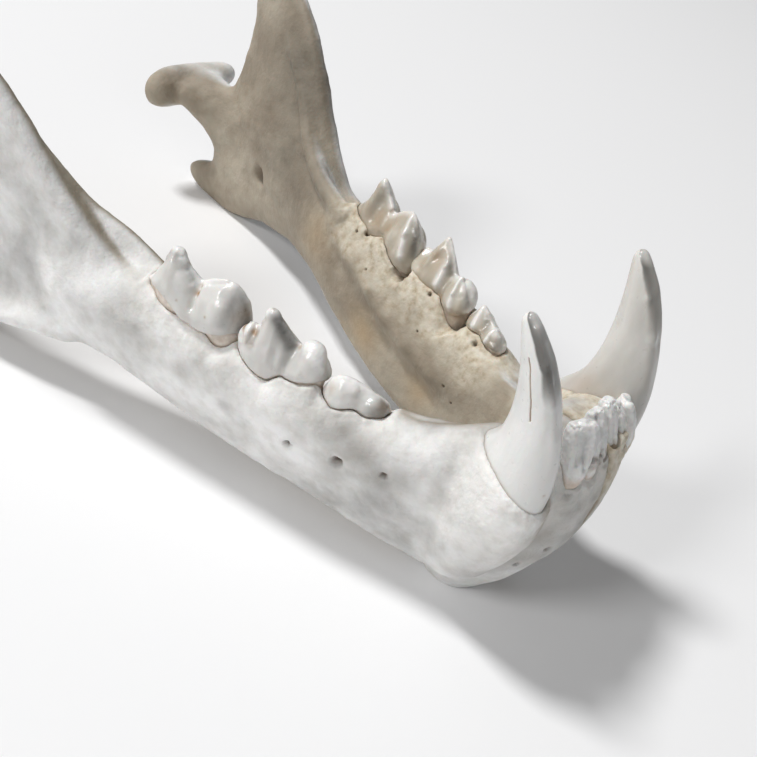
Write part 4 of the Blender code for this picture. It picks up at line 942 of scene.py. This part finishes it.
# Fine work on the bones: hollows, ridges, holes, sockets and grain
detail = {
    # lines of the surface: start, end, radius, height
    "strokes": (
        ((27.9, 90.7, 34.3), (23.7, 81.3, 31.6), 2.2, 0.5), ((23.7, 81.3, 31.6),
        (20.6, 73.6, 28.8), 2.2, 0.7), ((20.6, 73.6, 28.8), (18, 65.1, 26.6), 2.2, 0.8),
        ((18, 65.1, 26.6), (16.4, 59, 24.3), 2.2, 0.8), ((16.4, 59, 24.3), (14.6, 51.4, 22.2), 2.2, 0.7),
        ((14.6, 51.4, 22.2), (12.8, 43.7, 21.1), 2.3, 0.6), ((12.8, 43.7, 21.1),
        (11.4, 36.5, 22), 2.4, 0.4), ((23.6, 80, 26.4), (16.6, 57, 18.6), 2.2, -0.7), ((16.6, 57, 18.6),
        (12.6, 42, 16), 2.2, -0.6), ((31.6, 100.5, 38.6), (27.6, 89.5, 35.8), 1.3, 0.5),
        ((27.6, 89.5, 35.8), (24.6, 81, 34), 1.3, 0.4), ((0.3, 2.6, 38.6), (5.4, 3, 37.9), 1.5, 1.3),
        ((5.4, 3, 37.9), (8.4, 3.8, 37), 1.2, 0.6), ((3.8, 1.6, 36.4), (3.6, 0.9, 31), 0.9, -0.3),
        ((7, 2.2, 35.6), (6.6, 1.4, 30), 0.9, -0.35), ((28.4, 62, 31.5), (28.9, 63.4, 26), 1.6, -0.4),
        ((30.9, 74, 32), (31.3, 75, 27), 1.8, -0.3), ((26.6, 52.4, 30), (27, 53.4, 26), 1.5, -0.4),
        ((36, 96, 27), (33, 86, 29), 2.4, 0.5)),
    "strokesOf": {"left": (((9, 2.4, 36.8), (10.8, 2.4, 36.2), 1.5, -1.7),), "right": ()},
    # the bone dips behind the canine: y, how deep outside and how deep inside
    "dip": {
        "left": (
            (15, 0, 0), (18, 2.2, 1.6), (20.5, 4.6, 2.6), (23.5, 6.9, 3.2), (26, 6.8, 3.2), (28.5, 5.9, 3),
            (30.5, 4.5, 2.4), (33, 2.4, 1.5), (36, 0, 0)),
        "right": (
            (17, 0, 0), (20.5, 0.9, 0.3), (23.5, 2.4, 0.6), (26, 3.2, 0.8), (28.5, 3.2, 0.7),
            (30.5, 2.6, 0.5), (33, 1.4, 0.3), (36, 0, 0))},
    # heights where it begins and is full; outside and inside meet along a line that leans with y
    "dipHeights": (23, 36.5), "dipSides": (8.5, 12.5), "dipLean": (0.35, 23.5),
    # openings beside the teeth: place, radius, depth
    "pits": {
        "left": (
            ((26.8, 80.9, 34), 0.6, 1.5), ((24.2, 73.2, 32.9), 0.45, 1.3),
            ((20.3, 52.2, 31.3), 0.34, 0.8), ((17.7, 42.9, 31), 0.36, 0.9),
            ((15.2, 37.8, 30.8), 0.5, 1.2), ((21.4, 60.3, 31.3), 1.4, 2.4), ((22, 58.6, 31.4), 1.1, 2),
            ((20.8, 58.7, 31.1), 0.9, 1.5), ((20.2, 44.4, 29.8), 1.3, 1.9),
            ((24.9, 74.6, 32.4), 0.26, 0.6), ((13, 39, 21), 0.28, 0.4), ((11.6, 36.4, 19), 0.24, 0.4),
            ((22.6, 67.4, 28), 0.22, 0.4), ((16.8, 50, 25.4), 0.22, 0.4)),
        "right": (
            ((25.8, 80.6, 33), 0.7, 1.2), ((17.8, 44.6, 29.8), 0.8, 1), ((21.2, 60.2, 31.4), 1.1, 1.6))},
    # darker patches: place, radius, strength. On the left they are brown stains; on the right grey mottling,
    # and painted shade on the front of the chin
    "patches": {
        "left": (
            ((16.9, 64.2, 16.1), 5, 0.65), ((25, 86, 26), 6, 0.45), ((19.4, 71, 13), 3, 0.3),
            ((13.4, 45, 15), 4, 0.45), ((28.2, 83.5, 34.9), 3, 0.4), ((21, 55, 31), 1.6, 0.5),
            ((18, 44, 30.5), 1.5, 0.5)),
        "right": (
            ((23.4, 36.8, 28.6), 3.2, 0.6), ((22.9, 33.4, 26.4), 4, 0.75), ((21.5, 29, 23.1), 3, 0.6),
            ((23.3, 37.4, 19.8), 3.4, 0.5), ((25.7, 43.2, 23.4), 2, 0.35), ((26.2, 55.5, 14.8), 3, 0.4),
            ((20.2, 39.5, 9.3), 3, 0.4), ((31.5, 66.8, 25), 2.2, 0.35), ((34.9, 81.3, 27.8), 3, 0.35),
            ((37.8, 100, 21.9), 4, 0.15), ((28.6, 58, 22), 1.6, 0.4), ((10.1, 4, 22.6), 5, 0.7),
            ((9.9, 5.6, 16.5), 5, 0.65), ((13.7, 12, 13.3), 4, 0.4), ((16.2, 17.3, 15.3), 4, 0.4),
            ((17.9, 17.8, 25.1), 4, 0.4), ((15.3, 12.4, 23), 3, 0.3), ((20.7, 25.8, 25.1), 3, 0.5),
            ((24.5, 48, 13), 3, 0.4), ((30.5, 72, 15), 3.4, 0.35))},
    # painted shade on broad parts turned from the light, mostly about the coronoid: place, radius, strength
    "shades": {
        "left": (
            ((32, 103, 36), 13, 0.7), ((35, 105, 53), 14, 0.92), ((29.5, 96, 28), 8, 0.35),
            ((12.5, 41, 20), 5, 0.25), ((29.5, 90.7, 35.8), 7, 0.65)),
        "right": (((36, 100, 46), 9, 0.2),)},
    # finer faces near the teeth: reach and smoothing; only ahead of and above these places
    "levels": ((2.6, 1), (0.75, 1)), "finerFrom": (84, 22), "gapFrom": (90, 18), "gapReach": 8,
    # waves and grain of the surface: size, seed, height; the near grain fades out away from the teeth
    "grain": ((9, 0, 0.22), (2.2, 9, 0.06)), "nearGrain": (1.1, 5, 0.05), "nearReach": (4, 1),
    "creviceWidth": 0.13, "creviceDepth": 0.45, "creviceTint": 0.65, "rimHeight": 0.18, "rimPlace": 0.75,
    "rimWidth": 0.4, "marginReach": 1.2, "marginWidth": 0.28,
}


# How the bone is drawn to a tooth's socket rim, in the tooth's own frame
rimFit = {
    "above": 12.0, "search": 30.0, "missing": -3.0, "most": 2.6, "spacing": 0.5,
    # share of the tooth's width where the bone begins, and how far beyond it the level is read
    "wall": 0.9, "beyond": 0.4,
    # the fit fades out beside the tooth, below it and past its ends
    "beside": (0.6, 4.6), "below": (-7.0, -2.0), "past": 1.6,
}


def settleRims(bone, points, side):
    # Lift or lower the bone beside each cheek tooth to the tooth's own socket rim
    tree = buildTree([bone])
    total, weights = np.zeros(len(points)), np.zeros(len(points))
    for tooth in cheekTeeth.values():
        place, measure, length = toothFrame(tooth, side)
        s, t, h = measure(points)
        middle = (column(tooth["outline"], s, 1) + column(tooth["outline"], s, 2)) / 2
        for index, sign in ((1, 1), (2, -1)):
            stations = np.arange(-1.0, length + 1.01, rimFit["spacing"])
            shifts = []
            for station in stations:
                wall = column(tooth["outline"], station, index) * rimFit["wall"] + sign * rimFit["beyond"]
                start = place(station, wall, rimFit["above"])
                spot = tree.ray_cast(start, Vector((0, 0, -1)), rimFit["search"])[0]
                found = rimFit["missing"] if spot is None else rimFit["above"] - (start.z - spot.z)
                shift = column(tooth["rim"][index - 1], station, 1) - found
                shifts.append(np.clip(shift, -rimFit["most"], rimFit["most"]))
            beside = smoothStep(-1.0, 1.0, sign * (t - middle))
            apart = np.clip(sign * (t - column(tooth["outline"], s, index) * rimFit["wall"]), 0, None)
            share = beside * (1 - smoothStep(*rimFit["beside"], apart)) * smoothStep(*rimFit["below"], h)
            share = share * (1 - smoothStep(0.0, rimFit["past"], np.abs(s - length / 2) - length / 2))
            total += share * np.interp(s, stations, shifts)
            weights += share
    lifted = points.copy()
    lifted[:, 2] += total / np.maximum(weights, 1.0)
    return lifted


def isNear(points, rear, foot):
    return (points[:, 1] < rear) & (points[:, 2] > foot)


def sculptBone(bone, side, teeth, tooth, seed):
    points, normals = getPoints(bone), getNormals(bone)
    facing = np.clip(np.abs(normals[:, 0]), 0, 1)
    for middle, reach, depth in jaw["hollows"]:
        away = (((points - middle) / reach) ** 2).sum(axis=1)
        outer = normals[:, 0] > 0 if depth < 0 else normals[:, 0] < 0
        points[:, 0] += depth * np.clip(1 - away, 0, 1) ** 0.8 * facing * outer
    lean, start = detail["dipLean"]
    outer = smoothStep(*detail["dipSides"], points[:, 0] - lean * (points[:, 1] - start))
    dip = detail["dip"][side]
    depth = outer * column(dip, points[:, 1], 1) + (1 - outer) * column(dip, points[:, 1], 2)
    points[:, 2] -= depth * smoothStep(*detail["dipHeights"], points[:, 2])
    setPoints(bone, points)
    setPoints(bone, settleRims(bone, points, "Far" if side == "left" else "Near"))
    # The pits are moved to the nearest place on the bone
    surface = buildTree([bone])
    pits = [(np.array(surface.find_nearest(Vector(place))[0][:]), radius, depth)
            for place, radius, depth in detail["pits"][side]]
    tree = buildTree(teeth + [tooth])
    for reach, soften in detail["levels"]:
        centres = getCentres(bone)
        reachable = isNear(centres, *detail["finerFrom"])
        near = np.zeros(len(centres), dtype=bool)
        near[reachable] = np.abs(gapTo(tree, centres[reachable], reach)) < reach
        for place, radius, depth in pits:
            near |= np.linalg.norm(centres - place, axis=1) < radius + reach / 2
        subdivideNear(bone, near, soften)
    points, normals = getPoints(bone), getNormals(bone)
    gaps = np.full(len(points), float(detail["gapReach"]))
    reachable = isNear(points, *detail["gapFrom"])
    gaps[reachable] = gapTo(tree, points[reachable], detail["gapReach"])
    seam = smoothStep(0.2, 1.5, points[:, 0])
    push = sum(layeredNoise(points, size, seed + k) * high for size, k, high in detail["grain"]) * seam
    size, k, high = detail["nearGrain"]
    push += layeredNoise(points, size, seed + k) * high * smoothStep(*detail["nearReach"], gaps) * seam
    addStrokes(push, points, detail["strokes"] + detail["strokesOf"][side], seam)
    height = detail["rimHeight"] * (1 + 0.8 * layeredNoise(points, 1.6, seed + 2))
    push += height * np.exp(-((gaps - detail["rimPlace"]) / detail["rimWidth"]) ** 2)
    width = detail["creviceWidth"] * np.clip(1 + 0.9 * layeredNoise(points, 2.6, seed + 7), 0.25, 2)
    crevice = 1 - smoothStep(0.5, 1.5, gaps / width)
    push -= detail["creviceDepth"] * crevice
    # A dark joint line along the crevice beside the teeth
    cavity = detail["creviceTint"] * crevice * smoothStep(-0.7, 0.5, layeredNoise(points, 4.0, seed + 4))
    ragged = 1 + 0.3 * layeredNoise(points, 0.7, seed + 1)
    # The pits are painted dark inside: painted shade
    for place, radius, depth in pits:
        hit = np.clip(1.3 * strokeShare(points, place, place, radius) ** ragged, 0, 1)
        push -= depth * hit
        cavity = np.maximum(cavity, hit)
    points += normals * push[:, None]
    # The holes are painted dark inside too: painted shade
    for place, direction, radius, depth in jaw["holes"]:
        inwards = np.array(direction) / np.linalg.norm(direction)
        offset = points - place
        along = offset @ inwards
        apart = np.sqrt(np.clip((offset ** 2).sum(axis=1) - along ** 2, 0, None))
        hit = np.exp(-(apart / radius) ** 4) * (np.abs(along) < 5) * (normals @ inwards < 0)
        points += inwards * (depth * hit)[:, None]
        cavity = np.maximum(cavity, hit)
    setPoints(bone, points)
    ragged = 1 + 0.35 * layeredNoise(points, 3.0, seed + 6)
    setMask(bone, "cavity", cavity)
    # Faces turned inwards; the finish paints them in shade
    setMask(bone, "inner", smoothStep(-0.25, 0.45, -normals[:, 0]))
    setMask(bone, "socket", smoothStep(7.5, 1.5, gaps + layeredNoise(points, 3.0, seed + 8)))
    setMask(bone, "patch", spotMask(points, detail["patches"][side], ragged))
    uneven = 1 + 0.3 * layeredNoise(points, 5.0, seed + 3)
    # Painted shade on the broad darker parts, a little uneven
    setMask(bone, "dusk", spotMask(points, detail["shades"][side]) * uneven)


def tintMargins(teeth, bone):
    # A thin brown line on a tooth where it leaves the bone
    tree = buildTree([bone])
    for item in teeth:
        near = gapTo(tree, getPoints(item), detail["marginReach"])
        setMask(item, "margin", np.exp(-(np.clip(near, 0, None) / detail["marginWidth"]) ** 2))


print("sockets, ridges and grain of the bones")
sculptBone(boneLeft, "left", leftTeeth, canineLeft, 11)
sculptBone(boneRight, "right", rightTeeth, canineRight, 47)
tintMargins(leftTeeth + [canineLeft], boneLeft)
tintMargins(rightTeeth + [canineRight], boneRight)
for item in [boneRight, canineRight] + rightTeeth:
    mirrorPiece(item)
for item in (boneLeft, boneRight):
    print(item.name, len(item.data.vertices), "points,", len(item.data.polygons), "faces")


# Finishes
def makeFinish(name, settings):
    finish = bpy.data.materials.new(name)
    finish.use_nodes = True
    shader = finish.node_tree.nodes["Principled BSDF"]
    for key, value in settings.items():
        shader.inputs[key].default_value = value
    return finish, finish.node_tree, shader


def feed(tree, socket, value):
    # A socket takes another node's output or a fixed value
    if isinstance(value, bpy.types.NodeSocket):
        tree.links.new(value, socket)
    else:
        socket.default_value = (*value, 1) if isinstance(value, tuple) else value


def addNoise(tree, place, scale, detail, stretch=(1, 1, 1)):
    mapping = tree.nodes.new("ShaderNodeMapping")
    mapping.inputs["Scale"].default_value = stretch
    feed(tree, mapping.inputs["Vector"], place.outputs["Object"])
    noise = tree.nodes.new("ShaderNodeTexNoise")
    noise.inputs["Scale"].default_value = scale
    noise.inputs["Detail"].default_value = detail
    feed(tree, noise.inputs["Vector"], mapping.outputs["Vector"])
    return noise.outputs["Fac"]


def addRamp(tree, value, *stops):
    ramp = tree.nodes.new("ShaderNodeValToRGB")
    marks = ramp.color_ramp.elements
    for mark, (position, colour) in zip(marks, (stops[0], stops[-1])):
        mark.position, mark.color = position, (*colour, 1)
    for position, colour in stops[1:-1]:
        marks.new(position).color = (*colour, 1)
    feed(tree, ramp.inputs["Fac"], value)
    return ramp.outputs["Color"]


def addMask(tree, name):
    mask = tree.nodes.new("ShaderNodeAttribute")
    mask.attribute_name = name
    return mask.outputs["Fac"]


def addMix(tree, factor, first, second, kind="MIX"):
    mix = tree.nodes.new("ShaderNodeMix")
    mix.data_type, mix.blend_type = "RGBA", kind
    for key, value in (("Factor", factor), ("A", first), ("B", second)):
        feed(tree, mix.inputs[key], value)
    return mix.outputs["Result"]


def addMath(tree, kind, first, second):
    step = tree.nodes.new("ShaderNodeMath")
    step.operation = kind
    feed(tree, step.inputs[0], first)
    feed(tree, step.inputs[1], second)
    return step.outputs["Value"]


def addBump(tree, shader, height, strength, distance):
    bump = tree.nodes.new("ShaderNodeBump")
    bump.inputs["Strength"].default_value = strength
    bump.inputs["Distance"].default_value = distance
    feed(tree, bump.inputs["Height"], height)
    feed(tree, shader.inputs["Normal"], bump.outputs["Normal"])


boneLook = {
    "pale": ((0.30, (0.46, 0.455, 0.445)), (0.45, (0.70, 0.695, 0.68)), (0.60, (0.88, 0.875, 0.865))),
    "shadedTaupe": ((0.32, (0.27, 0.225, 0.17)), (0.5, (0.37, 0.32, 0.25)), (0.68, (0.45, 0.40, 0.32))),
    "paintedLitCream": ((0.30, (0.46, 0.375, 0.26)), (0.45, (0.64, 0.57, 0.445)), (0.62, (0.75, 0.70, 0.59))),
    "stain": (0.50, 0.35, 0.19), "greyMottleAndShade": (0.25, 0.245, 0.235), "dusk": (0.17, 0.145, 0.11),
    "hollow": (0.10, 0.06, 0.03),
    # noises: scale and detail, in enamelLook also how they are stretched
    "cloud": (70, 7), "speck": (420, 6), "rim": (640, 8), "grain": (1500, 5), "pores": (520, 3),
    "rimShare": 0.85, "patchShare": 0.8, "toneShare": 0.8, "hollowShare": 0.85, "poreHeight": 1.6,
    "tone": ((0.3, (0.86, 0.85, 0.83)), (0.55, (1.0, 1.0, 1.0))), "bump": (0.42, 0.0003),
    "shader": {"Roughness": 0.62, "Specular IOR Level": 0.35, "Subsurface Weight": 0.12,
               "Subsurface Scale": 0.001},
}


def boneFinish():
    look = boneLook
    finish, tree, shader = makeFinish("weatheredBone", look["shader"])
    place = tree.nodes.new("ShaderNodeTexCoord")
    cloud = addNoise(tree, place, *look["cloud"])
    outer = addRamp(tree, cloud, *look["pale"])
    inner = addRamp(tree, cloud, *look["shadedTaupe"])
    # Faces turned inwards get the darker taupe, painted shade; outer faces keep the pale bone colour
    colour = addMix(tree, addMask(tree, "inner"), outer, inner)
    # Creamier band beside the teeth, scaled by warm: painted light, as on the upper band that catches the
    # light
    paintedLightBand = addMath(tree, "MULTIPLY", addMask(tree, "socket"), look["rimShare"])
    paintedLightBand = addMath(tree, "MULTIPLY", paintedLightBand, addMask(tree, "warm"))
    colour = addMix(tree, paintedLightBand, colour, addRamp(tree, addNoise(tree, place, *look["rim"]), *look["paintedLitCream"]))
    # Patch colour: brown stains on the left bone; on the right grey mottling and painted shade
    stain = addMix(tree, addMask(tree, "warm"), look["greyMottleAndShade"], look["stain"])
    patch = addMath(tree, "MULTIPLY", addMask(tree, "patch"), look["patchShare"])
    colour = addMix(tree, patch, colour, stain)
    # Painted shade on the broad darker parts
    colour = addMix(tree, addMask(tree, "dusk"), colour, look["dusk"])
    tone = addRamp(tree, addNoise(tree, place, *look["speck"]), *look["tone"])
    colour = addMix(tree, look["toneShare"], colour, tone, "MULTIPLY")
    # Painted shade in the pits and holes, and the dark joint line of the crevice
    hollow = addMath(tree, "MULTIPLY", addMask(tree, "cavity"), look["hollowShare"])
    feed(tree, shader.inputs["Base Color"], addMix(tree, hollow, colour, look["hollow"]))
    pores = addMath(tree, "MULTIPLY", addNoise(tree, place, *look["pores"]), look["poreHeight"])
    height = addMath(tree, "ADD", addNoise(tree, place, *look["grain"]), pores)
    addBump(tree, shader, height, *look["bump"])
    return finish


enamelLook = {
    "ivory": ((0.30, (0.37, 0.31, 0.225)), (0.5, (0.47, 0.41, 0.315)), (0.70, (0.58, 0.54, 0.45))),
    "white": ((0.30, (0.58, 0.58, 0.565)), (0.70, (0.74, 0.735, 0.725))),
    "cement": ((0.30, (0.58, 0.49, 0.41)), (0.70, (0.78, 0.70, 0.62))),
    "worn": (0.93, 0.93, 0.915), "stain": (0.34, 0.20, 0.095), "margin": (0.30, 0.20, 0.12),
    "dusk": (0.115, 0.11, 0.10),
    "cloud": (160, 5, (1.0, 1.0, 0.4)), "fine": (900, 4), "streaks": (1400, 3, (1.0, 1.0, 0.12)),
    "wearAndHighlightShare": 0.75, "marginShare": 0.38, "dullness": 0.3, "unevenness": 0.14, "roughness": 0.23,
    "rubbing": 5.0, "bump": (0.16, 0.0002),
    "shader": {"Specular IOR Level": 0.62, "Coat Weight": 0.28, "Coat Roughness": 0.18,
               "Subsurface Weight": 0.15, "Subsurface Scale": 0.0012},
}


def enamelFinish():
    look = enamelLook
    finish, tree, shader = makeFinish("toothEnamel", look["shader"])
    place = tree.nodes.new("ShaderNodeTexCoord")
    cloud, fine = addNoise(tree, place, *look["cloud"]), addNoise(tree, place, *look["fine"])
    ivory, white = addRamp(tree, cloud, *look["ivory"]), addRamp(tree, cloud, *look["white"])
    colour = addMix(tree, addMask(tree, "warm"), white, ivory)
    # Paler where the crest is worn and where a highlight is painted
    paintedLightAndWear = addMath(tree, "MULTIPLY", addMask(tree, "worn"), look["wearAndHighlightShare"])
    colour = addMix(tree, paintedLightAndWear, colour, look["worn"])
    colour = addMix(tree, addMask(tree, "root"), colour, addRamp(tree, fine, *look["cement"]))
    # Painted shade and dark reflection: on the cheek teeth's flanks and down the canines' fronts; on the
    # incisors painted shade in the facet and clouds of their own tone
    colour = addMix(tree, addMask(tree, "dusk"), colour, look["dusk"])
    # Brown stains, some of them painted shade in hollows
    colour = addMix(tree, addMask(tree, "stain"), colour, look["stain"])
    edge = addMath(tree, "MULTIPLY", addMask(tree, "margin"), look["marginShare"])
    feed(tree, shader.inputs["Base Color"], addMix(tree, edge, colour, look["margin"]))
    dull = addMath(tree, "ADD", addMask(tree, "root"), addMask(tree, "chalk"))
    dull = addMath(tree, "MULTIPLY", dull, look["dullness"])
    uneven = addMath(tree, "MULTIPLY", fine, look["unevenness"])
    rough = addMath(tree, "ADD", addMath(tree, "ADD", dull, uneven), look["roughness"])
    feed(tree, shader.inputs["Roughness"], rough)
    rubbed = addMath(tree, "MULTIPLY", fine, look["rubbing"])
    rubbed = addMath(tree, "MULTIPLY", addMask(tree, "worn"), rubbed)
    height = addMath(tree, "ADD", addNoise(tree, place, *look["streaks"]), rubbed)
    addBump(tree, shader, height, *look["bump"])
    return finish


bone = boneFinish()
enamel = enamelFinish()


def finishPiece(item, finish, nodes, warmth):
    item.data.materials.clear()
    item.data.materials.append(finish)
    setMask(item, "warm", np.full(len(item.data.vertices), warmth))
    placePiece(item)
    selectOnly(item)
    bpy.ops.object.shade_smooth()
    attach(item, "root")
    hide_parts(*nodes)


# How much ivory or brown each piece shows; on the bones also whether patches are brown or grey, and how
# strongly the cream band beside the teeth, a painted light, shows
warmth = {"boneLeft": 1.0, "boneRight": 0.12, "teethLeft": 0.9, "teethRight": 0.2, "incisorsLeft": 0.1,
          "incisorsRight": 0.0, "canineLeft": 0.35, "canineRight": 0.1}
finishPiece(boneLeft, bone, ["mandible_left"], warmth["boneLeft"])
finishPiece(boneRight, bone, ["mandible_right"], warmth["boneRight"])
for tooth in leftTeeth:
    kind = "incisorsLeft" if tooth.name[0] == "i" else "teethLeft"
    finishPiece(tooth, enamel, ["mandible_left"], warmth[kind])
for tooth in rightTeeth:
    kind = "incisorsRight" if tooth.name[0] == "i" else "teethRight"
    finishPiece(tooth, enamel, ["mandible_right"], warmth[kind])
finishPiece(canineLeft, enamel, ["canine_left"], warmth["canineLeft"])
finishPiece(canineRight, enamel, ["canine_right"], warmth["canineRight"])


# Floor, lights and camera
studio = {
    "floorSize": 6.0, "floor": {"Base Color": (0.90, 0.90, 0.905, 1), "Roughness": 0.7},
    "lamps": {
        "rear": {"place": (-0.42, 1.26, 2.10), "size": 0.45, "power": 43.5, "shine": True},
        "left": {"place": (-1.75, 0.62, 1.40), "size": 0.55, "power": 16.5, "shine": True},
        "front": {"place": (-1.1, -1.9, 0.8), "size": 1.2, "power": 4.5, "shine": False}},
    "world": (1.0, 1.0, 1.0, 1), "worldStrength": 0.19,
}
bpy.ops.object.select_all(action="DESELECT")
bpy.ops.mesh.primitive_plane_add(size=studio["floorSize"], location=(0, 0, 0))
floor = bpy.context.view_layer.objects.active
floor.name = "floor"
floor.data.materials.append(makeFinish("paleFloor", studio["floor"])[0])


def softLight(name, place, size, power, shine):
    bpy.ops.object.select_all(action="DESELECT")
    bpy.ops.object.light_add(type="AREA", location=place)
    lamp = bpy.context.view_layer.objects.active
    lamp.name = name
    lamp.data.shape = "DISK"
    lamp.data.size = size
    lamp.data.energy = power
    lamp.rotation_euler = (Vector((0, 0, 0.02)) - Vector(place)).to_track_quat("-Z", "Y").to_euler()
    lamp.visible_glossy = shine


for lampName, lamp in studio["lamps"].items():
    softLight(lampName, **lamp)
bpy.context.scene.view_settings.view_transform = "Standard"
world = bpy.context.scene.world or bpy.data.worlds.new("studio")
bpy.context.scene.world = world
world.use_nodes = True
backdrop = world.node_tree.nodes["Background"].inputs
backdrop["Color"].default_value = studio["world"]
backdrop["Strength"].default_value = studio["worldStrength"]

view = {
    "place": (-0.132458, -0.096694, 0.132141), "lens": 47.43, "sensor": 36.0,
    "right": (0.6167, -0.7321, 0.2891), "down": (-0.3339, -0.5760, -0.7462),
    "forward": (0.7129, 0.3637, -0.5996),
}
bpy.ops.object.camera_add(location=view["place"])
camera = bpy.context.view_layer.objects.active
camera.name = "camera"
columns = [Vector(view["right"]), -Vector(view["down"]), -Vector(view["forward"])]
camera.rotation_euler = Matrix(columns).transposed().to_euler()
camera.data.lens = view["lens"]
camera.data.sensor_width = view["sensor"]
camera.data.clip_start = 0.01
bpy.context.scene.camera = camera

print("jaw, floor, lights and camera in place")
